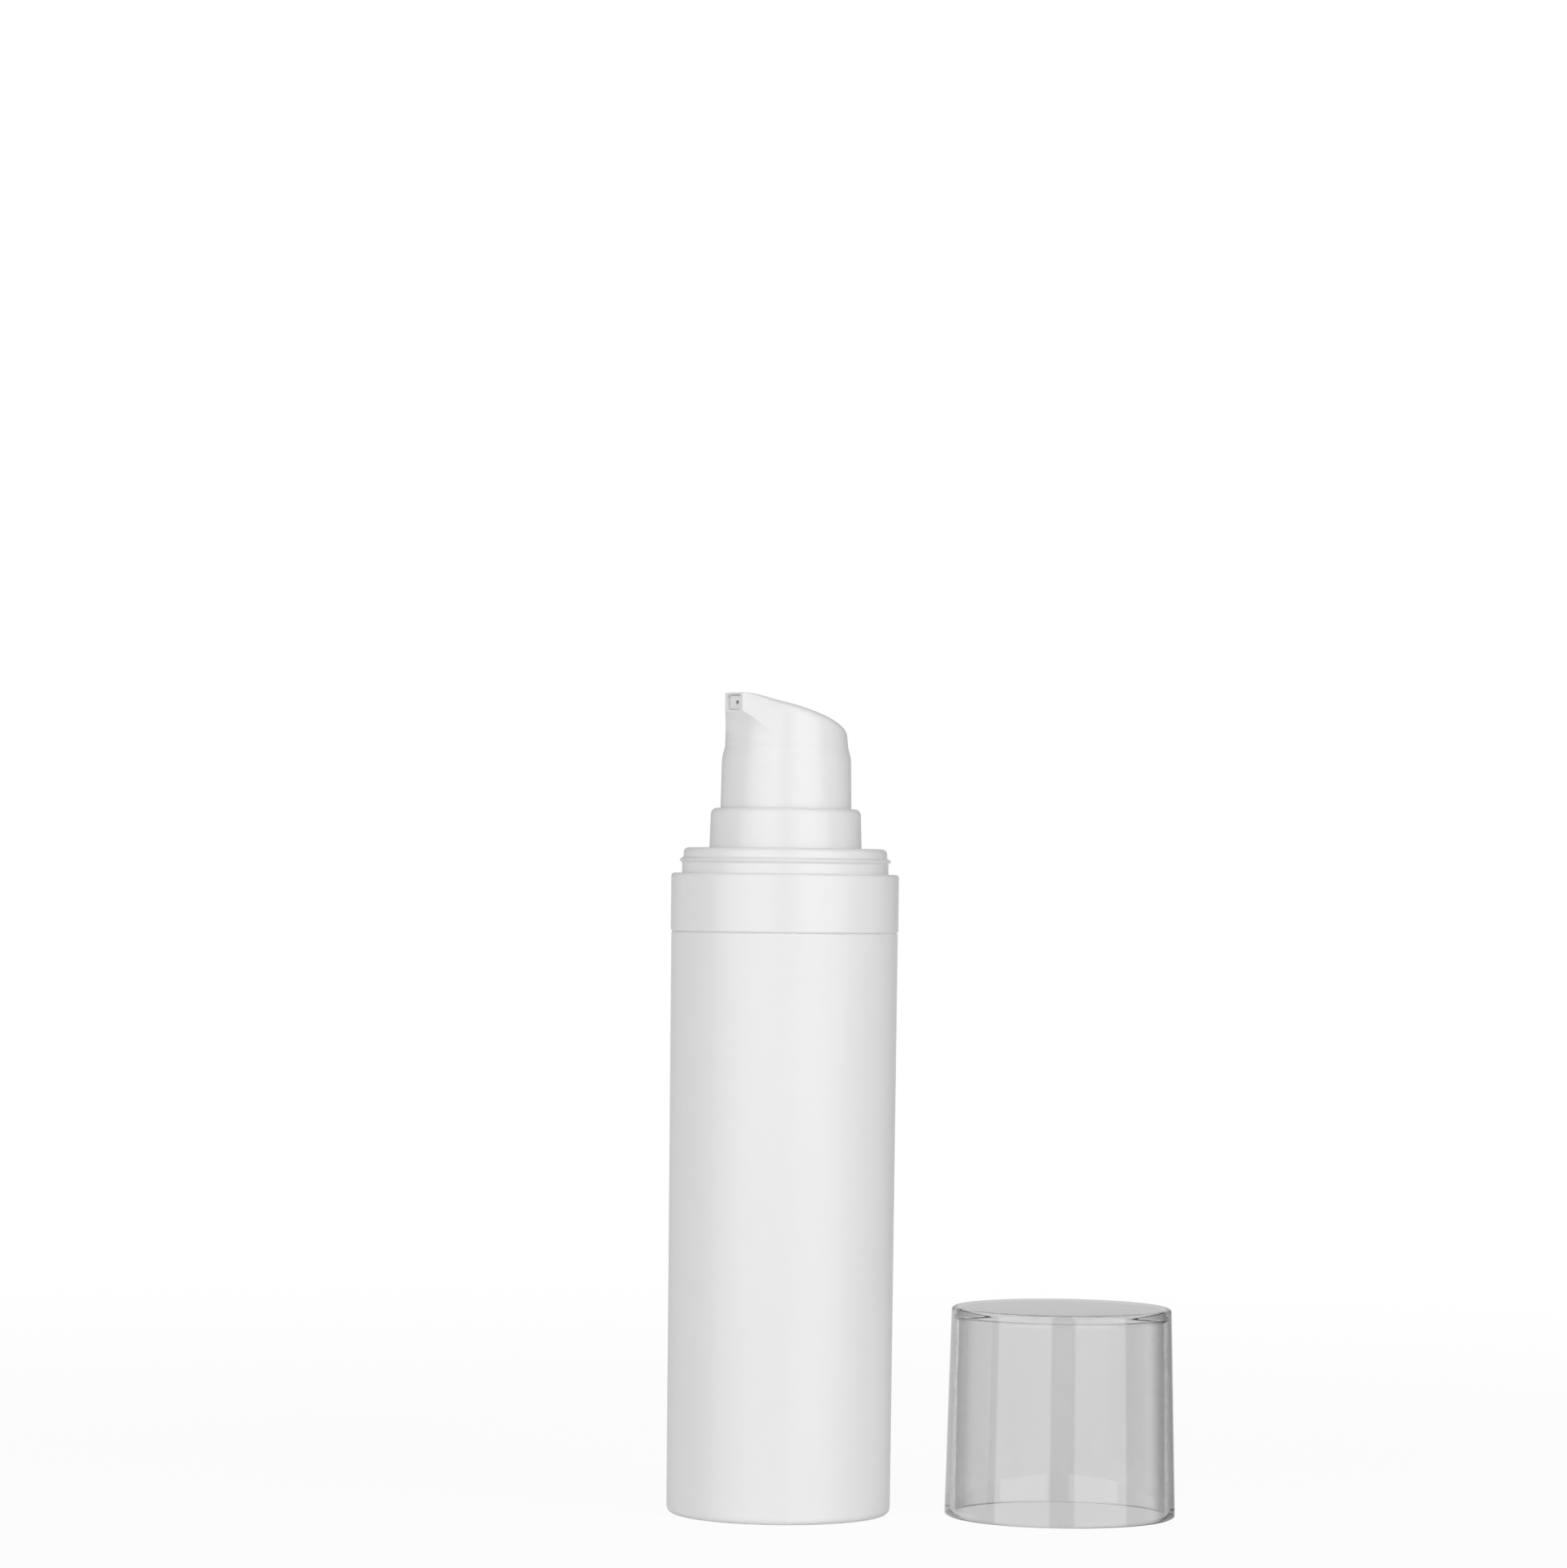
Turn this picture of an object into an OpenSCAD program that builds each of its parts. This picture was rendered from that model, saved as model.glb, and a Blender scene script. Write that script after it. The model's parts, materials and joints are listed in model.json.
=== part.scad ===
// Airless pump bottle of about 50 ml, with its cap taken off and stood beside it.
// Millimetres. +Z is up. The origin is on the bottle's axis, on the plane that it stands on.

/* [Container] */
// Outside diameter of the barrel at its rim
barrel_d = 33; // [32:0.5:38]
// How much less the barrel's diameter is at its foot
barrel_draft = 0.5; // [0.1:0.1:0.8]
// Height of the barrel from its foot to its rim
barrel_h = 84.4; // [60:0.2:110]
// Wall thickness of the barrel at its rim
barrel_wall = 1.5; // [1.2:0.1:1.8]
// Thickness of the container's floor
floor_t = 1.6; // [1.2:0.1:2.4]
// Height of the hollow under the floor
foot_hollow = 0.8; // [0.4:0.1:1.4]
// Width of the flat ring that the bottle stands on
foot_ring_w = 2.4; // [1.6:0.1:4]
// Radius of the rounded edge round the foot
foot_edge_r = 1; // [0.6:0.1:1.6]
// Diameter of the vent that lets air in under the follower piston
vent_d = 4.4; // [2:0.1:8]

/* [Shoulder collar] */
// How far the collar band stands proud of the barrel
collar_proud = 0.1; // [0.05:0.05:0.3]
// Height of the collar band
collar_h = 8.5; // [8:0.1:12]
// Wall thickness of the collar band
collar_wall = 1; // [0.8:0.1:1.2]
// Radius of the rounded edge round the top of the band
collar_edge_r = 0.5; // [0.2:0.1:0.8]
// Width of the ledge that the cap's rim meets
ledge_w = 1.55; // [1.2:0.05:1.9]
// Height of the cap seat above the ledge
seat_h = 3.7; // [3.3:0.1:5]
// Wall thickness of the cap seat
seat_wall = 1.6; // [1.4:0.1:1.8]
// Height of the snap bead's crest above the ledge
bead_up = 1.9; // [1.5:0.1:2.1]
// How far the snap bead stands out of the seat
bead_out = 0.35; // [0.2:0.05:0.45]
// Height of the guide turret above the seat
turret_h = 5.8; // [5:0.1:8]
// Wall thickness of the turret at its mouth
turret_wall = 1.35; // [1.2:0.05:1.6]
// Radius of the rounded edge round the top of the turret
turret_edge_r = 0.95; // [0.4:0.05:1.1]

/* [Actuator] */
// Outside diameter of the skirt inside the turret
skirt_d = 19.1; // [18.5:0.1:19.6]
// Wall thickness of the skirt
skirt_wall = 1.2; // [0.9:0.1:1.4]
// Height of the skirt that shows above the turret
skirt_h = 7.3; // [6:0.1:10]
// Height of the sloping shoulder between the skirt and the head
step_h = 1.6; // [1.2:0.1:2.6]
// How much less the head's radius is than the skirt's
step_w = 0.55; // [0.4:0.05:0.8]
// Height of the head above the shoulder, on its axis
head_h = 4.8; // [4.4:0.1:7]
// Slope of the head's top towards the nozzle, in degrees
head_slope = 18.5; // [14:0.5:20]
// Radius of the rounded edge round the head's top
head_edge_r = 1.4; // [1:0.1:2.4]
// Depth of the finger dish in the head's top
dish_depth = 0.5; // [0.2:0.1:0.6]
// Thickness of the head's top under the dish
head_wall = 1.3; // [1.1:0.1:1.6]
// Direction that the nozzle points in, in degrees from +X
nozzle_heading = 221; // [0:1:359]
// Distance of the nozzle's face from the axis
nozzle_reach = 10.2; // [9.9:0.1:11.5]
// Width of the nozzle
nozzle_w = 3.9; // [3.4:0.1:4.6]
// Height of the nozzle
nozzle_h = 2.9; // [2.6:0.1:3.2]
// Radius of the hollow curve under the nozzle
beak_curve_r = 5; // [4:0.1:7]
// Wall thickness round the nozzle's mouth
mouth_wall = 0.35; // [0.3:0.05:0.5]
// Depth of the open mouth in front of the nozzle insert
mouth_depth = 0.6; // [0.4:0.1:0.8]
// Thickness of the nozzle insert
insert_t = 0.8; // [0.6:0.1:1.2]
// Diameter of the insert's orifice
orifice_d = 0.6; // [0.5:0.1:1.4]

/* [Pump] */
// Travel of the actuator when it is pressed
stroke = 4; // [3:0.1:4.2]
// Bore of the pump housing
pump_bore_d = 11; // [10.6:0.1:12]
// Wall thickness of the pump housing
pump_wall = 1; // [0.8:0.1:1.2]
// Outside diameter of the upper stem
stem_d = 6.5; // [6:0.1:6.8]
// Bore of the upper stem
stem_bore_d = 3.8; // [3.4:0.1:4.2]
// Depth of the actuator's socket on the stem
socket_h = 5; // [4:0.1:6]
// How far the stem seal lifts off the piston rod's flange
seal_lift = 0.8; // [0.6:0.1:1]
// Height of the stem seal's core
seal_core_h = 4; // [3.4:0.1:4.6]
// Diameter of the check ball
ball_d = 3; // [2.6:0.1:3.2]
// How far the check ball lifts off its seat
ball_lift = 0.9; // [0.6:0.1:1.2]
// Length of the return spring at rest
spring_h = 10.6; // [10:0.1:11.2]
// Diameter of the spring wire
wire_d = 0.8; // [0.6:0.1:0.9]
// Turns of the return spring
spring_turns = 5.5; // [4.5:0.5:6]
// Thickness of the housing gasket
gasket_t = 0.6; // [0.4:0.1:1]

/* [Follower piston] */
// Height of the follower piston
follower_h = 7.5; // [7.2:0.1:10]
// Wall thickness of the follower piston
follower_wall = 1.2; // [0.9:0.1:1.4]

/* [Cap] */
// Height of the cap
cap_h = 30.2; // [29:0.1:36]
// Wall thickness of the cap at its rim
cap_wall = 1.5; // [1.2:0.1:1.8]
// Thickness of the cap's top
cap_top_t = 1.3; // [1:0.1:2]
// How much less the cap's outside diameter is at its top
cap_draft = 1.5; // [0.5:0.1:2]
// Radius of the rounded edge round the cap's top
cap_edge_r = 0.6; // [0.3:0.1:1]
// Distance from the cap's top to where its bore narrows
cap_narrow_down = 9; // [6:0.5:14]
// Place of the cap's axis beside the bottle, along X
cap_x = 41; // [37.5:0.5:80]
// Place of the cap's axis beside the bottle, along Y
cap_y = 1; // [-20:0.5:20]

/* [Fits] */
// Radial gap of a sliding seal in its bore
seal_gap = 0.04; // [0.02:0.01:0.08]
// Radial gap of a part that turns or slides on another
running_gap = 0.03; // [0.02:0.01:0.06]
// Radial gap of the skirt in the turret
guide_gap = 0.2; // [0.15:0.05:0.3]
// Radial gap between pieces that are snapped together
snap_gap = 0.05; // [0.03:0.01:0.1]
// Radial gap between the cap's bore and its seat
cap_gap = 0.25; // [0.15:0.05:0.3]

/* [Hidden] */

shell_white = [0.93, 0.93, 0.93];
inner_white = [0.86, 0.88, 0.88];
follower_white = [0.9, 0.9, 0.87];
seal_cream = [0.85, 0.83, 0.76];
gasket_grey = [0.6, 0.62, 0.64];
steel = [0.62, 0.63, 0.65];
cap_clear = [0.76, 0.76, 0.76, 0.45];

round_n = 96;
arc_n = 6;

// Levels of the outer shell
z_rim = barrel_h;
z_ledge = z_rim + collar_h;
z_seat = z_ledge + seat_h;
z_turret = z_seat + turret_h;
z_step = z_turret + skirt_h;
z_head = z_step + step_h;
z_top = z_head + head_h;

// Radii of the outer shell
rim_r = barrel_d / 2;
foot_r = rim_r - barrel_draft / 2;
bore_r = rim_r - barrel_wall;
rim_bevel = 0.2;
collar_r = rim_r + collar_proud;
seat_r = collar_r - ledge_w;
seat_neck = 0.2;
bead_rise = 0.45;
bead_flat = 0.08;
seat_edge_r = 0.8;
plate_t = 1.2;
skirt_r = skirt_d / 2;
turret_mouth_r = skirt_r + guide_gap;
turret_relief = 0.15;
turret_lip_h = 1.2;
turret_r = turret_mouth_r + turret_wall;
turret_draft = 0.15;
cut = 1;

// Follower piston
z_floor = foot_hollow + floor_t;
rest_gap = 0.3;
z_follower = z_floor + rest_gap;
lip_h = 0.9;
lip_in = 0.56;
lip_slope = 0.6;
well_gap = 0.7;

// Closure that carries the pump
plug_h = 4.4;
web_t = 1.4;
closure_wall = 1.4;
snap_out = 0.35;
snap_rise = 0.45;
snap_flat = 0.1;
deck_drop = 1.7;
z_web = z_rim - plug_h;
z_deck = z_ledge - deck_drop;
plug_r = bore_r - snap_gap;
closure_r = seat_r - seat_wall - snap_gap;
closure_in = closure_r - closure_wall;
closure_rim_r = collar_r - collar_wall - snap_gap;
plug_snap_out = 0.25;
z_plug_snap = z_rim - plug_h / 2;
wall_top_gap = 0.5;
wall_snap_up = 0.7;
z_wall_top = z_seat - plate_t - wall_top_gap;
z_wall_snap = z_ledge + wall_snap_up;
tube_wall = 1.2;
deck_lip = 0.2;

// Pump housing
pump_r = pump_bore_d / 2;
housing_r = pump_r + pump_wall;
flange_w = 1.6;
flange_t = 1.2;
flange_r = housing_r + flange_w;
housing_hole_r = housing_r + 2 * snap_gap;
z_flange = z_deck + gasket_t;
z_guide = z_flange + flange_t;
guide_t = 1.2;
z_spring = z_guide + guide_t;
guide_tube_h = 2.45;
guide_snap_rise = 0.4;
guide_skirt_h = 1.6;
guide_skirt_wall = 1.05;
guide_collar_h = 1;
guide_collar_w = 0.6;
z_stop = z_guide - guide_tube_h;

// Stem, rod and seal, from the guide's lower end downwards
stem_r = stem_d / 2;
stem_bore_r = stem_bore_d / 2;
stem_flare_r = pump_r - 1.1;
stem_flare_t = 0.9;
stem_chamfer = 0.3;
z_flare = z_stop - snap_gap - stem_flare_t;
z_seal = z_flare - seal_lift - seal_core_h;
rod_flange_t = 1;
rod_waist_r = stem_bore_r + 0.4;
rod_wall = 0.8;
rod_port_d = 1.1;
rod_port_up = 0.15;
z_rod = z_seal - rod_flange_t;
floor_room = 0.4;
z_pump_floor = z_rod - stroke - floor_room;
pump_floor_t = 1.2;
z_pump_under = z_pump_floor - pump_floor_t;
z_boss = z_spring + spring_h;
z_stem_top = z_boss + socket_h;
z_skirt = z_spring + stroke + guide_gap;

// Stem seal: its two lips, its sleeve and its core
seal_lip_h = 1.2;
seal_lip_in = 0.35;
seal_lip_slope = 0.4;
seal_lip_reach = 0.8;
seal_sleeve_gap = 0.2;
seal_core_wall = 1.05;
seal_groove_h = 1.4;

// Inlet valve, from its retaining nubs downwards
ball_r = ball_d / 2;
inlet_r = ball_r * 2 / 3;
inlet_h = 0.9;
ball_side_gap = 0.4;
chamber_r = ball_r + ball_side_gap;
chamber_wall = 1.3;
nub_r = ball_r * 0.9;
nub_h = 0.8;
nub_w = 0.7;
nub_root = 0.3;
nub_drop = 0.1;
ball_seat_gap = 0.02;
ball_stop_gap = 0.1;
z_nub = z_pump_under - nub_drop;
z_ball = z_nub - sqrt(ball_r * ball_r - nub_r * nub_r) - ball_lift - ball_stop_gap;
z_cone = z_ball - ball_r * sqrt(2) + inlet_r - ball_seat_gap;
valve_r = chamber_r + chamber_wall;
z_inlet = z_cone - inlet_h;

// Actuator, along the nozzle's heading
head_r = skirt_r - step_w;
skirt_draft = 0.13;
head_draft = 0.28;
skirt_in = skirt_r - skirt_wall;
head_in = head_r - head_wall;
boss_r = 5.4;
boss_bore_r = boss_r + 0.5;
form_sink = 0.4;
form_disc_h = 0.1;
shoulder_sink = 0.2;
corner_r = 0.45;
nozzle_flat = 0.2;
z_nozzle_top = z_top + tan(head_slope) * (nozzle_reach - 2 * corner_r) - nozzle_flat;
z_nozzle = z_nozzle_top - nozzle_h;
beak_gap = 0.05;
beak_wall_r = head_r + beak_gap;
nozzle_corner_r = norm([nozzle_reach, nozzle_w / 2]);
beak_curve_in = beak_wall_r + beak_curve_r - nozzle_corner_r;
z_beak = z_nozzle - sqrt(beak_curve_r * beak_curve_r - beak_curve_in * beak_curve_in);
ceiling_drop = head_wall + dish_depth;
passage_r = 1.4;
channel_r = 0.8;
channel_drop = 1.95;
rib_r = passage_r + 0.5;
rib_drop = 2;
channel_reach = 0.3;
mouth_w = nozzle_w - 2 * mouth_wall;
mouth_h = nozzle_h - 2 * mouth_wall;
mouth_corner_r = 0.5;
z_mouth = z_nozzle + nozzle_h / 2;
insert_x = nozzle_reach - mouth_depth - insert_t;
dish_r = 16;
dish_back = 1;

// Return spring
coil_gap = 0.95;
coil_r = stem_r + coil_gap + wire_d / 2;
coil_rings = 20;
wire_sides = 8;

// Cap
cap_bore_r = seat_r + cap_gap;
cap_rim_r = cap_bore_r + cap_wall;
cap_top_r = cap_rim_r - cap_draft / 2;
cap_bore_draft = 0.25;
cap_narrow_w = 0.1;
cap_narrow_h = 3;
cap_lead = 0.3;
cap_rim_edge = 0.2;
cap_in_edge = 0.6;

// Points of an arc round [cx, cz], from angle a0 to angle a1
function arc(cx, cz, r, a0, a1, n = arc_n) =
    [for (i = [0:n]) let (a = a0 + (a1 - a0) * i / n) [cx + r * cos(a), cz + r * sin(a)]];

// A ridge that stands out of a turned wall at height z, from below to above
function ridge(r, z, out, rise = snap_rise, flat = snap_flat) =
    [[r, z - rise], [r + out, z - flat], [r + out, z + flat], [r, z + rise]];

function reversed(points) = [for (i = [len(points) - 1:-1:0]) points[i]];

// A solid turned about the axis from its outline of [radius, height] points
module turned(outline) {
    rotate_extrude($fn = round_n) polygon(outline);
}

// Turns its children from the +X direction to the nozzle's heading
module towards_nozzle() {
    rotate([0, 0, nozzle_heading]) children();
}

// Puts its children on the head's slanted top, with the slope's own X and Y
module on_slant() {
    translate([0, 0, z_top]) rotate([0, -head_slope, 0]) children();
}

// A bar along +X with rounded corners, from x0 to x1, centred at height z
module rounded_bar(w, h, r, x0, x1, z) {
    translate([x0, 0, z])
        rotate([90, 0, 90])
            linear_extrude(x1 - x0) {
                square([w, h - 2 * r], center = true);
                square([w - 2 * r, h], center = true);
                for (sx = [-1, 1], sy = [-1, 1])
                    translate([sx * (w / 2 - r), sy * (h / 2 - r)]) circle(r, $fn = 32);
            }
}

module container() {
    ring_in = foot_r - foot_edge_r - foot_ring_w;
    color(shell_white)
        turned(concat(
            [[ring_in, 0]],
            arc(foot_r - foot_edge_r, foot_edge_r, foot_edge_r, -90, 0),
            [[rim_r, z_rim - rim_bevel],
             [rim_r - rim_bevel, z_rim],
             [bore_r, z_rim]],
            reversed(ridge(bore_r, z_plug_snap, plug_snap_out + snap_gap)),
            [[bore_r, z_floor],
             [vent_d / 2, z_floor],
             [vent_d / 2, foot_hollow],
             [ring_in - foot_hollow / 2, foot_hollow]]
        ));
}

module follower_piston() {
    lip_r = bore_r - seal_gap;
    waist_r = lip_r - lip_in;
    skirt_in_r = waist_r - follower_wall;
    z0 = z_follower;
    z1 = z_follower + follower_h;
    tail_r = valve_r + well_gap;
    well_r = housing_r + well_gap;
    z_tail = z1 - (z_web - z_inlet);
    z_well = z1 - (z_web - z_pump_under);
    color(follower_white)
        turned([
            [0, z_tail - follower_wall],
            [tail_r + follower_wall, z_tail - follower_wall],
            [tail_r + follower_wall, z_well - follower_wall],
            [well_r + follower_wall, z_well - follower_wall],
            [well_r + follower_wall, z1 - follower_wall],
            [skirt_in_r, z1 - follower_wall],
            [skirt_in_r, z0],
            [lip_r, z0],
            [lip_r, z0 + lip_h],
            [waist_r, z0 + lip_h + lip_slope],
            [waist_r, z1 - lip_h - lip_slope],
            [lip_r, z1 - lip_h],
            [lip_r, z1],
            [well_r, z1],
            [well_r, z_well],
            [tail_r, z_well],
            [tail_r, z_tail],
            [0, z_tail]
        ]);
}

module pump_closure() {
    tube_r = housing_hole_r + tube_wall;
    deck_r = flange_r + deck_lip;
    color(inner_white)
        turned(concat(
            [[housing_hole_r, z_web], [plug_r, z_web]],
            ridge(plug_r, z_plug_snap, plug_snap_out),
            [[plug_r, z_rim],
             [closure_rim_r, z_rim],
             [closure_rim_r, z_rim + web_t],
             [closure_r, z_rim + web_t]],
            ridge(closure_r, z_wall_snap, snap_out),
            [[closure_r, z_wall_top], [closure_in, z_wall_top]],
            reversed(ridge(closure_in, z_guide - flange_t / 2, plug_snap_out + snap_gap, guide_snap_rise)),
            [[closure_in, z_web + web_t],
             [tube_r, z_web + web_t],
             [tube_r, z_deck - web_t],
             [deck_r, z_deck - web_t / 2],
             [deck_r, z_deck],
             [housing_hole_r, z_deck]]
        ));
}

module shoulder_collar() {
    seat_in = seat_r - seat_wall;
    band_in = collar_r - collar_wall;
    neck_r = seat_r - seat_neck;
    turret_top_r = turret_r - turret_draft;
    relief_r = turret_mouth_r + turret_relief;
    z_bead = z_ledge + bead_up;
    color(shell_white)
        turned(concat(
            [[band_in, z_rim],
             [collar_r - rim_bevel, z_rim],
             [collar_r, z_rim + rim_bevel]],
            arc(collar_r - collar_edge_r, z_ledge - collar_edge_r, collar_edge_r, 0, 90),
            [[seat_r, z_ledge],
             [seat_r, z_bead - bead_rise],
             [seat_r + bead_out, z_bead - bead_flat],
             [seat_r + bead_out, z_bead + bead_flat],
             [neck_r, z_bead + bead_rise]],
            arc(neck_r - seat_edge_r, z_seat - seat_edge_r, seat_edge_r, 0, 90),
            [[turret_r, z_seat]],
            arc(turret_top_r - turret_edge_r, z_turret - turret_edge_r, turret_edge_r, 0, 90),
            [[turret_mouth_r, z_turret],
             [turret_mouth_r, z_turret - turret_lip_h],
             [relief_r, z_turret - turret_lip_h - turret_relief],
             [relief_r, z_seat - plate_t],
             [seat_in, z_seat - plate_t]],
            reversed(ridge(seat_in, z_wall_snap, snap_out + snap_gap)),
            [[seat_in, z_ledge - plate_t], [band_in, z_ledge - plate_t]]
        ));
}

module housing_gasket() {
    color(gasket_grey)
        turned([
            [housing_r + snap_gap, z_deck],
            [flange_r, z_deck],
            [flange_r, z_flange],
            [housing_r + snap_gap, z_flange]
        ]);
}

module pump_housing() {
    color(inner_white)
        union() {
            turned([
                [inlet_r, z_inlet],
                [valve_r - rim_bevel, z_inlet],
                [valve_r, z_inlet + rim_bevel],
                [valve_r, z_pump_under],
                [housing_r, z_pump_under],
                [housing_r, z_flange],
                [flange_r, z_flange],
                [flange_r, z_guide],
                [pump_r, z_guide],
                [pump_r, z_pump_floor],
                [chamber_r, z_pump_floor],
                [chamber_r, z_cone + chamber_r - inlet_r],
                [inlet_r, z_cone]
            ]);
            for (a = [0:120:240])
                rotate([0, 0, a])
                    translate([nub_r, -nub_w / 2, z_nub])
                        cube([chamber_r - nub_r + nub_root, nub_w, nub_h]);
        }
}

module check_ball() {
    color(steel) translate([0, 0, z_ball]) sphere(ball_r, $fn = 48);
}

module piston_rod() {
    shank_r = stem_bore_r - snap_gap;
    duct_r = shank_r - rod_wall;
    port_r = rod_port_d / 2;
    z_port = z_seal + port_r + rod_port_up;
    color(inner_white)
        difference() {
            turned([
                [0, z_rod],
                [stem_flare_r - stem_chamfer, z_rod],
                [stem_flare_r, z_rod + stem_chamfer],
                [stem_flare_r, z_seal],
                [rod_waist_r, z_seal],
                [rod_waist_r, z_flare],
                [shank_r, z_flare],
                [shank_r, z_flare + seal_core_h],
                [duct_r, z_flare + seal_core_h],
                [duct_r, z_port],
                [0, z_port]
            ]);
            translate([-stem_flare_r, 0, z_port])
                rotate([0, 90, 0])
                    cylinder(r = port_r, h = 2 * stem_flare_r, $fn = 32);
        }
}

module stem_seal() {
    lip_r = pump_r - seal_gap;
    waist_r = lip_r - seal_lip_in;
    sleeve_r = stem_flare_r + seal_sleeve_gap;
    bore = rod_waist_r + snap_gap;
    core_r = bore + seal_core_wall;
    z_core = z_seal + seal_core_h;
    z_groove = z_core - seal_groove_h;
    z0 = z_seal - seal_lip_reach;
    z1 = z_core + seal_lip_reach;
    color(seal_cream)
        turned([
            [bore, z_seal],
            [sleeve_r, z_seal],
            [sleeve_r, z0],
            [lip_r, z0],
            [lip_r, z0 + seal_lip_h],
            [waist_r, z0 + seal_lip_h + seal_lip_slope],
            [waist_r, z1 - seal_lip_h - seal_lip_slope],
            [lip_r, z1 - seal_lip_h],
            [lip_r, z1],
            [sleeve_r, z1],
            [sleeve_r, z_groove],
            [core_r, z_groove],
            [core_r, z_core],
            [bore, z_core]
        ]);
}

module upper_stem() {
    color(inner_white)
        turned([
            [stem_bore_r, z_flare],
            [stem_flare_r, z_flare],
            [stem_flare_r, z_flare + stem_flare_t],
            [stem_r, z_flare + stem_flare_t],
            [stem_r, z_stem_top - stem_chamfer],
            [stem_r - stem_chamfer, z_stem_top],
            [stem_bore_r, z_stem_top]
        ]);
}

module stem_guide() {
    hole_r = stem_r + running_gap;
    outer_r = closure_in - snap_gap;
    skirt_in_r = outer_r - guide_skirt_wall;
    z_skirt_end = z_guide - guide_skirt_h;
    color(inner_white)
        turned(concat(
            [[hole_r, z_stop],
             [pump_r - 2 * snap_gap, z_stop],
             [pump_r - 2 * snap_gap, z_guide],
             [skirt_in_r, z_guide],
             [skirt_in_r, z_skirt_end],
             [outer_r, z_skirt_end]],
            ridge(outer_r, z_guide - flange_t / 2, plug_snap_out, guide_snap_rise),
            [[outer_r, z_spring],
             [hole_r + guide_collar_w, z_spring],
             [hole_r + guide_collar_w, z_spring + guide_collar_h],
             [hole_r, z_spring + guide_collar_h]]
        ));
}

// The spring's wire is a ring of points carried along a helix of constant pitch
module return_spring() {
    rise = spring_h - wire_d;
    steps = spring_turns * coil_rings;
    slope = atan2(rise, spring_turns * 360 * PI / 180 * coil_r);
    centres = [for (i = [0:steps]) let (a = 360 * i / coil_rings)
        [coil_r * cos(a), coil_r * sin(a), z_spring + wire_d / 2 + rise * i / steps]];
    ring_points = [for (i = [0:steps], j = [0:wire_sides - 1])
        let (a = 360 * i / coil_rings, b = 360 * j / wire_sides,
             out = wire_d / 2 * cos(b), up = wire_d / 2 * sin(b))
        centres[i] + [out * cos(a) + up * sin(a) * sin(slope),
                      out * sin(a) - up * cos(a) * sin(slope),
                      up * cos(slope)]];
    sides = [for (i = [0:steps - 1], j = [0:wire_sides - 1])
        let (a = i * wire_sides + j, b = i * wire_sides + (j + 1) % wire_sides)
        each [[a, b, a + wire_sides], [b, b + wire_sides, a + wire_sides]]];
    first_end = [for (j = [1:wire_sides - 2]) [0, j + 1, j]];
    last = steps * wire_sides;
    last_end = [for (j = [1:wire_sides - 2]) [last, last + j, last + j + 1]];
    gap = min([for (i = [0:steps - coil_rings]) norm(centres[i + coil_rings] - centres[i])]) - wire_d;
    echo(least_gap_between_coils = gap);
    color(steel) polyhedron(ring_points, concat(sides, first_end, last_end));
}

// The head's outer form: a drafted drum with a slanted, rounded top that runs out into a beak
module head_form() {
    rim_in = head_r - head_draft - head_edge_r;
    corner_x = nozzle_reach - corner_r;
    corner_y = nozzle_w / 2 - corner_r;
    root_x = insert_x - corner_r;
    hull() {
        translate([0, 0, z_step + form_sink]) cylinder(r = head_r, h = form_disc_h, $fn = 72);
        for (s = [-1, 1])
            translate([corner_x, s * corner_y, z_step + form_sink])
                cylinder(r = corner_r, h = form_disc_h, $fn = 24);
        for (a = [0:15:345])
            translate([rim_in * cos(a), rim_in * sin(a),
                       z_top + tan(head_slope) * rim_in * cos(a) - head_edge_r / cos(head_slope)])
                sphere(head_edge_r, $fn = 24);
        for (s = [-1, 1]) {
            translate([corner_x, s * corner_y, z_nozzle_top - corner_r]) sphere(corner_r, $fn = 20);
            translate([root_x, s * corner_y,
                       z_top + tan(head_slope) * root_x - corner_r / cos(head_slope)])
                sphere(corner_r, $fn = 20);
        }
    }
}

module beak_undercut() {
    reach = nozzle_reach + 4;
    turned(concat(
        [[beak_wall_r, z_step]],
        reversed(arc(beak_wall_r + beak_curve_r, z_beak, beak_curve_r,
                     180 - asin((z_nozzle - z_beak) / beak_curve_r), 180)),
        [[reach, z_nozzle], [reach, z_step]]
    ));
}

// The hollow round the socket, closed by the slanted top and crossed by the channel's rib
module head_hollow() {
    below = 30;
    difference() {
        intersection() {
            turned([
                [boss_r, z_skirt - cut],
                [skirt_in, z_skirt - cut],
                [skirt_in, z_step],
                [head_in, z_head],
                [head_in, z_top + head_r],
                [boss_r, z_top + head_r]
            ]);
            towards_nozzle() on_slant()
                translate([-below, -below, -ceiling_drop - below])
                    cube([2 * below, 2 * below, below]);
        }
        towards_nozzle() on_slant()
            translate([boss_r - cut, -rib_r, -ceiling_drop - rib_drop])
                cube([head_r, 2 * rib_r, below]);
    }
}

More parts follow.
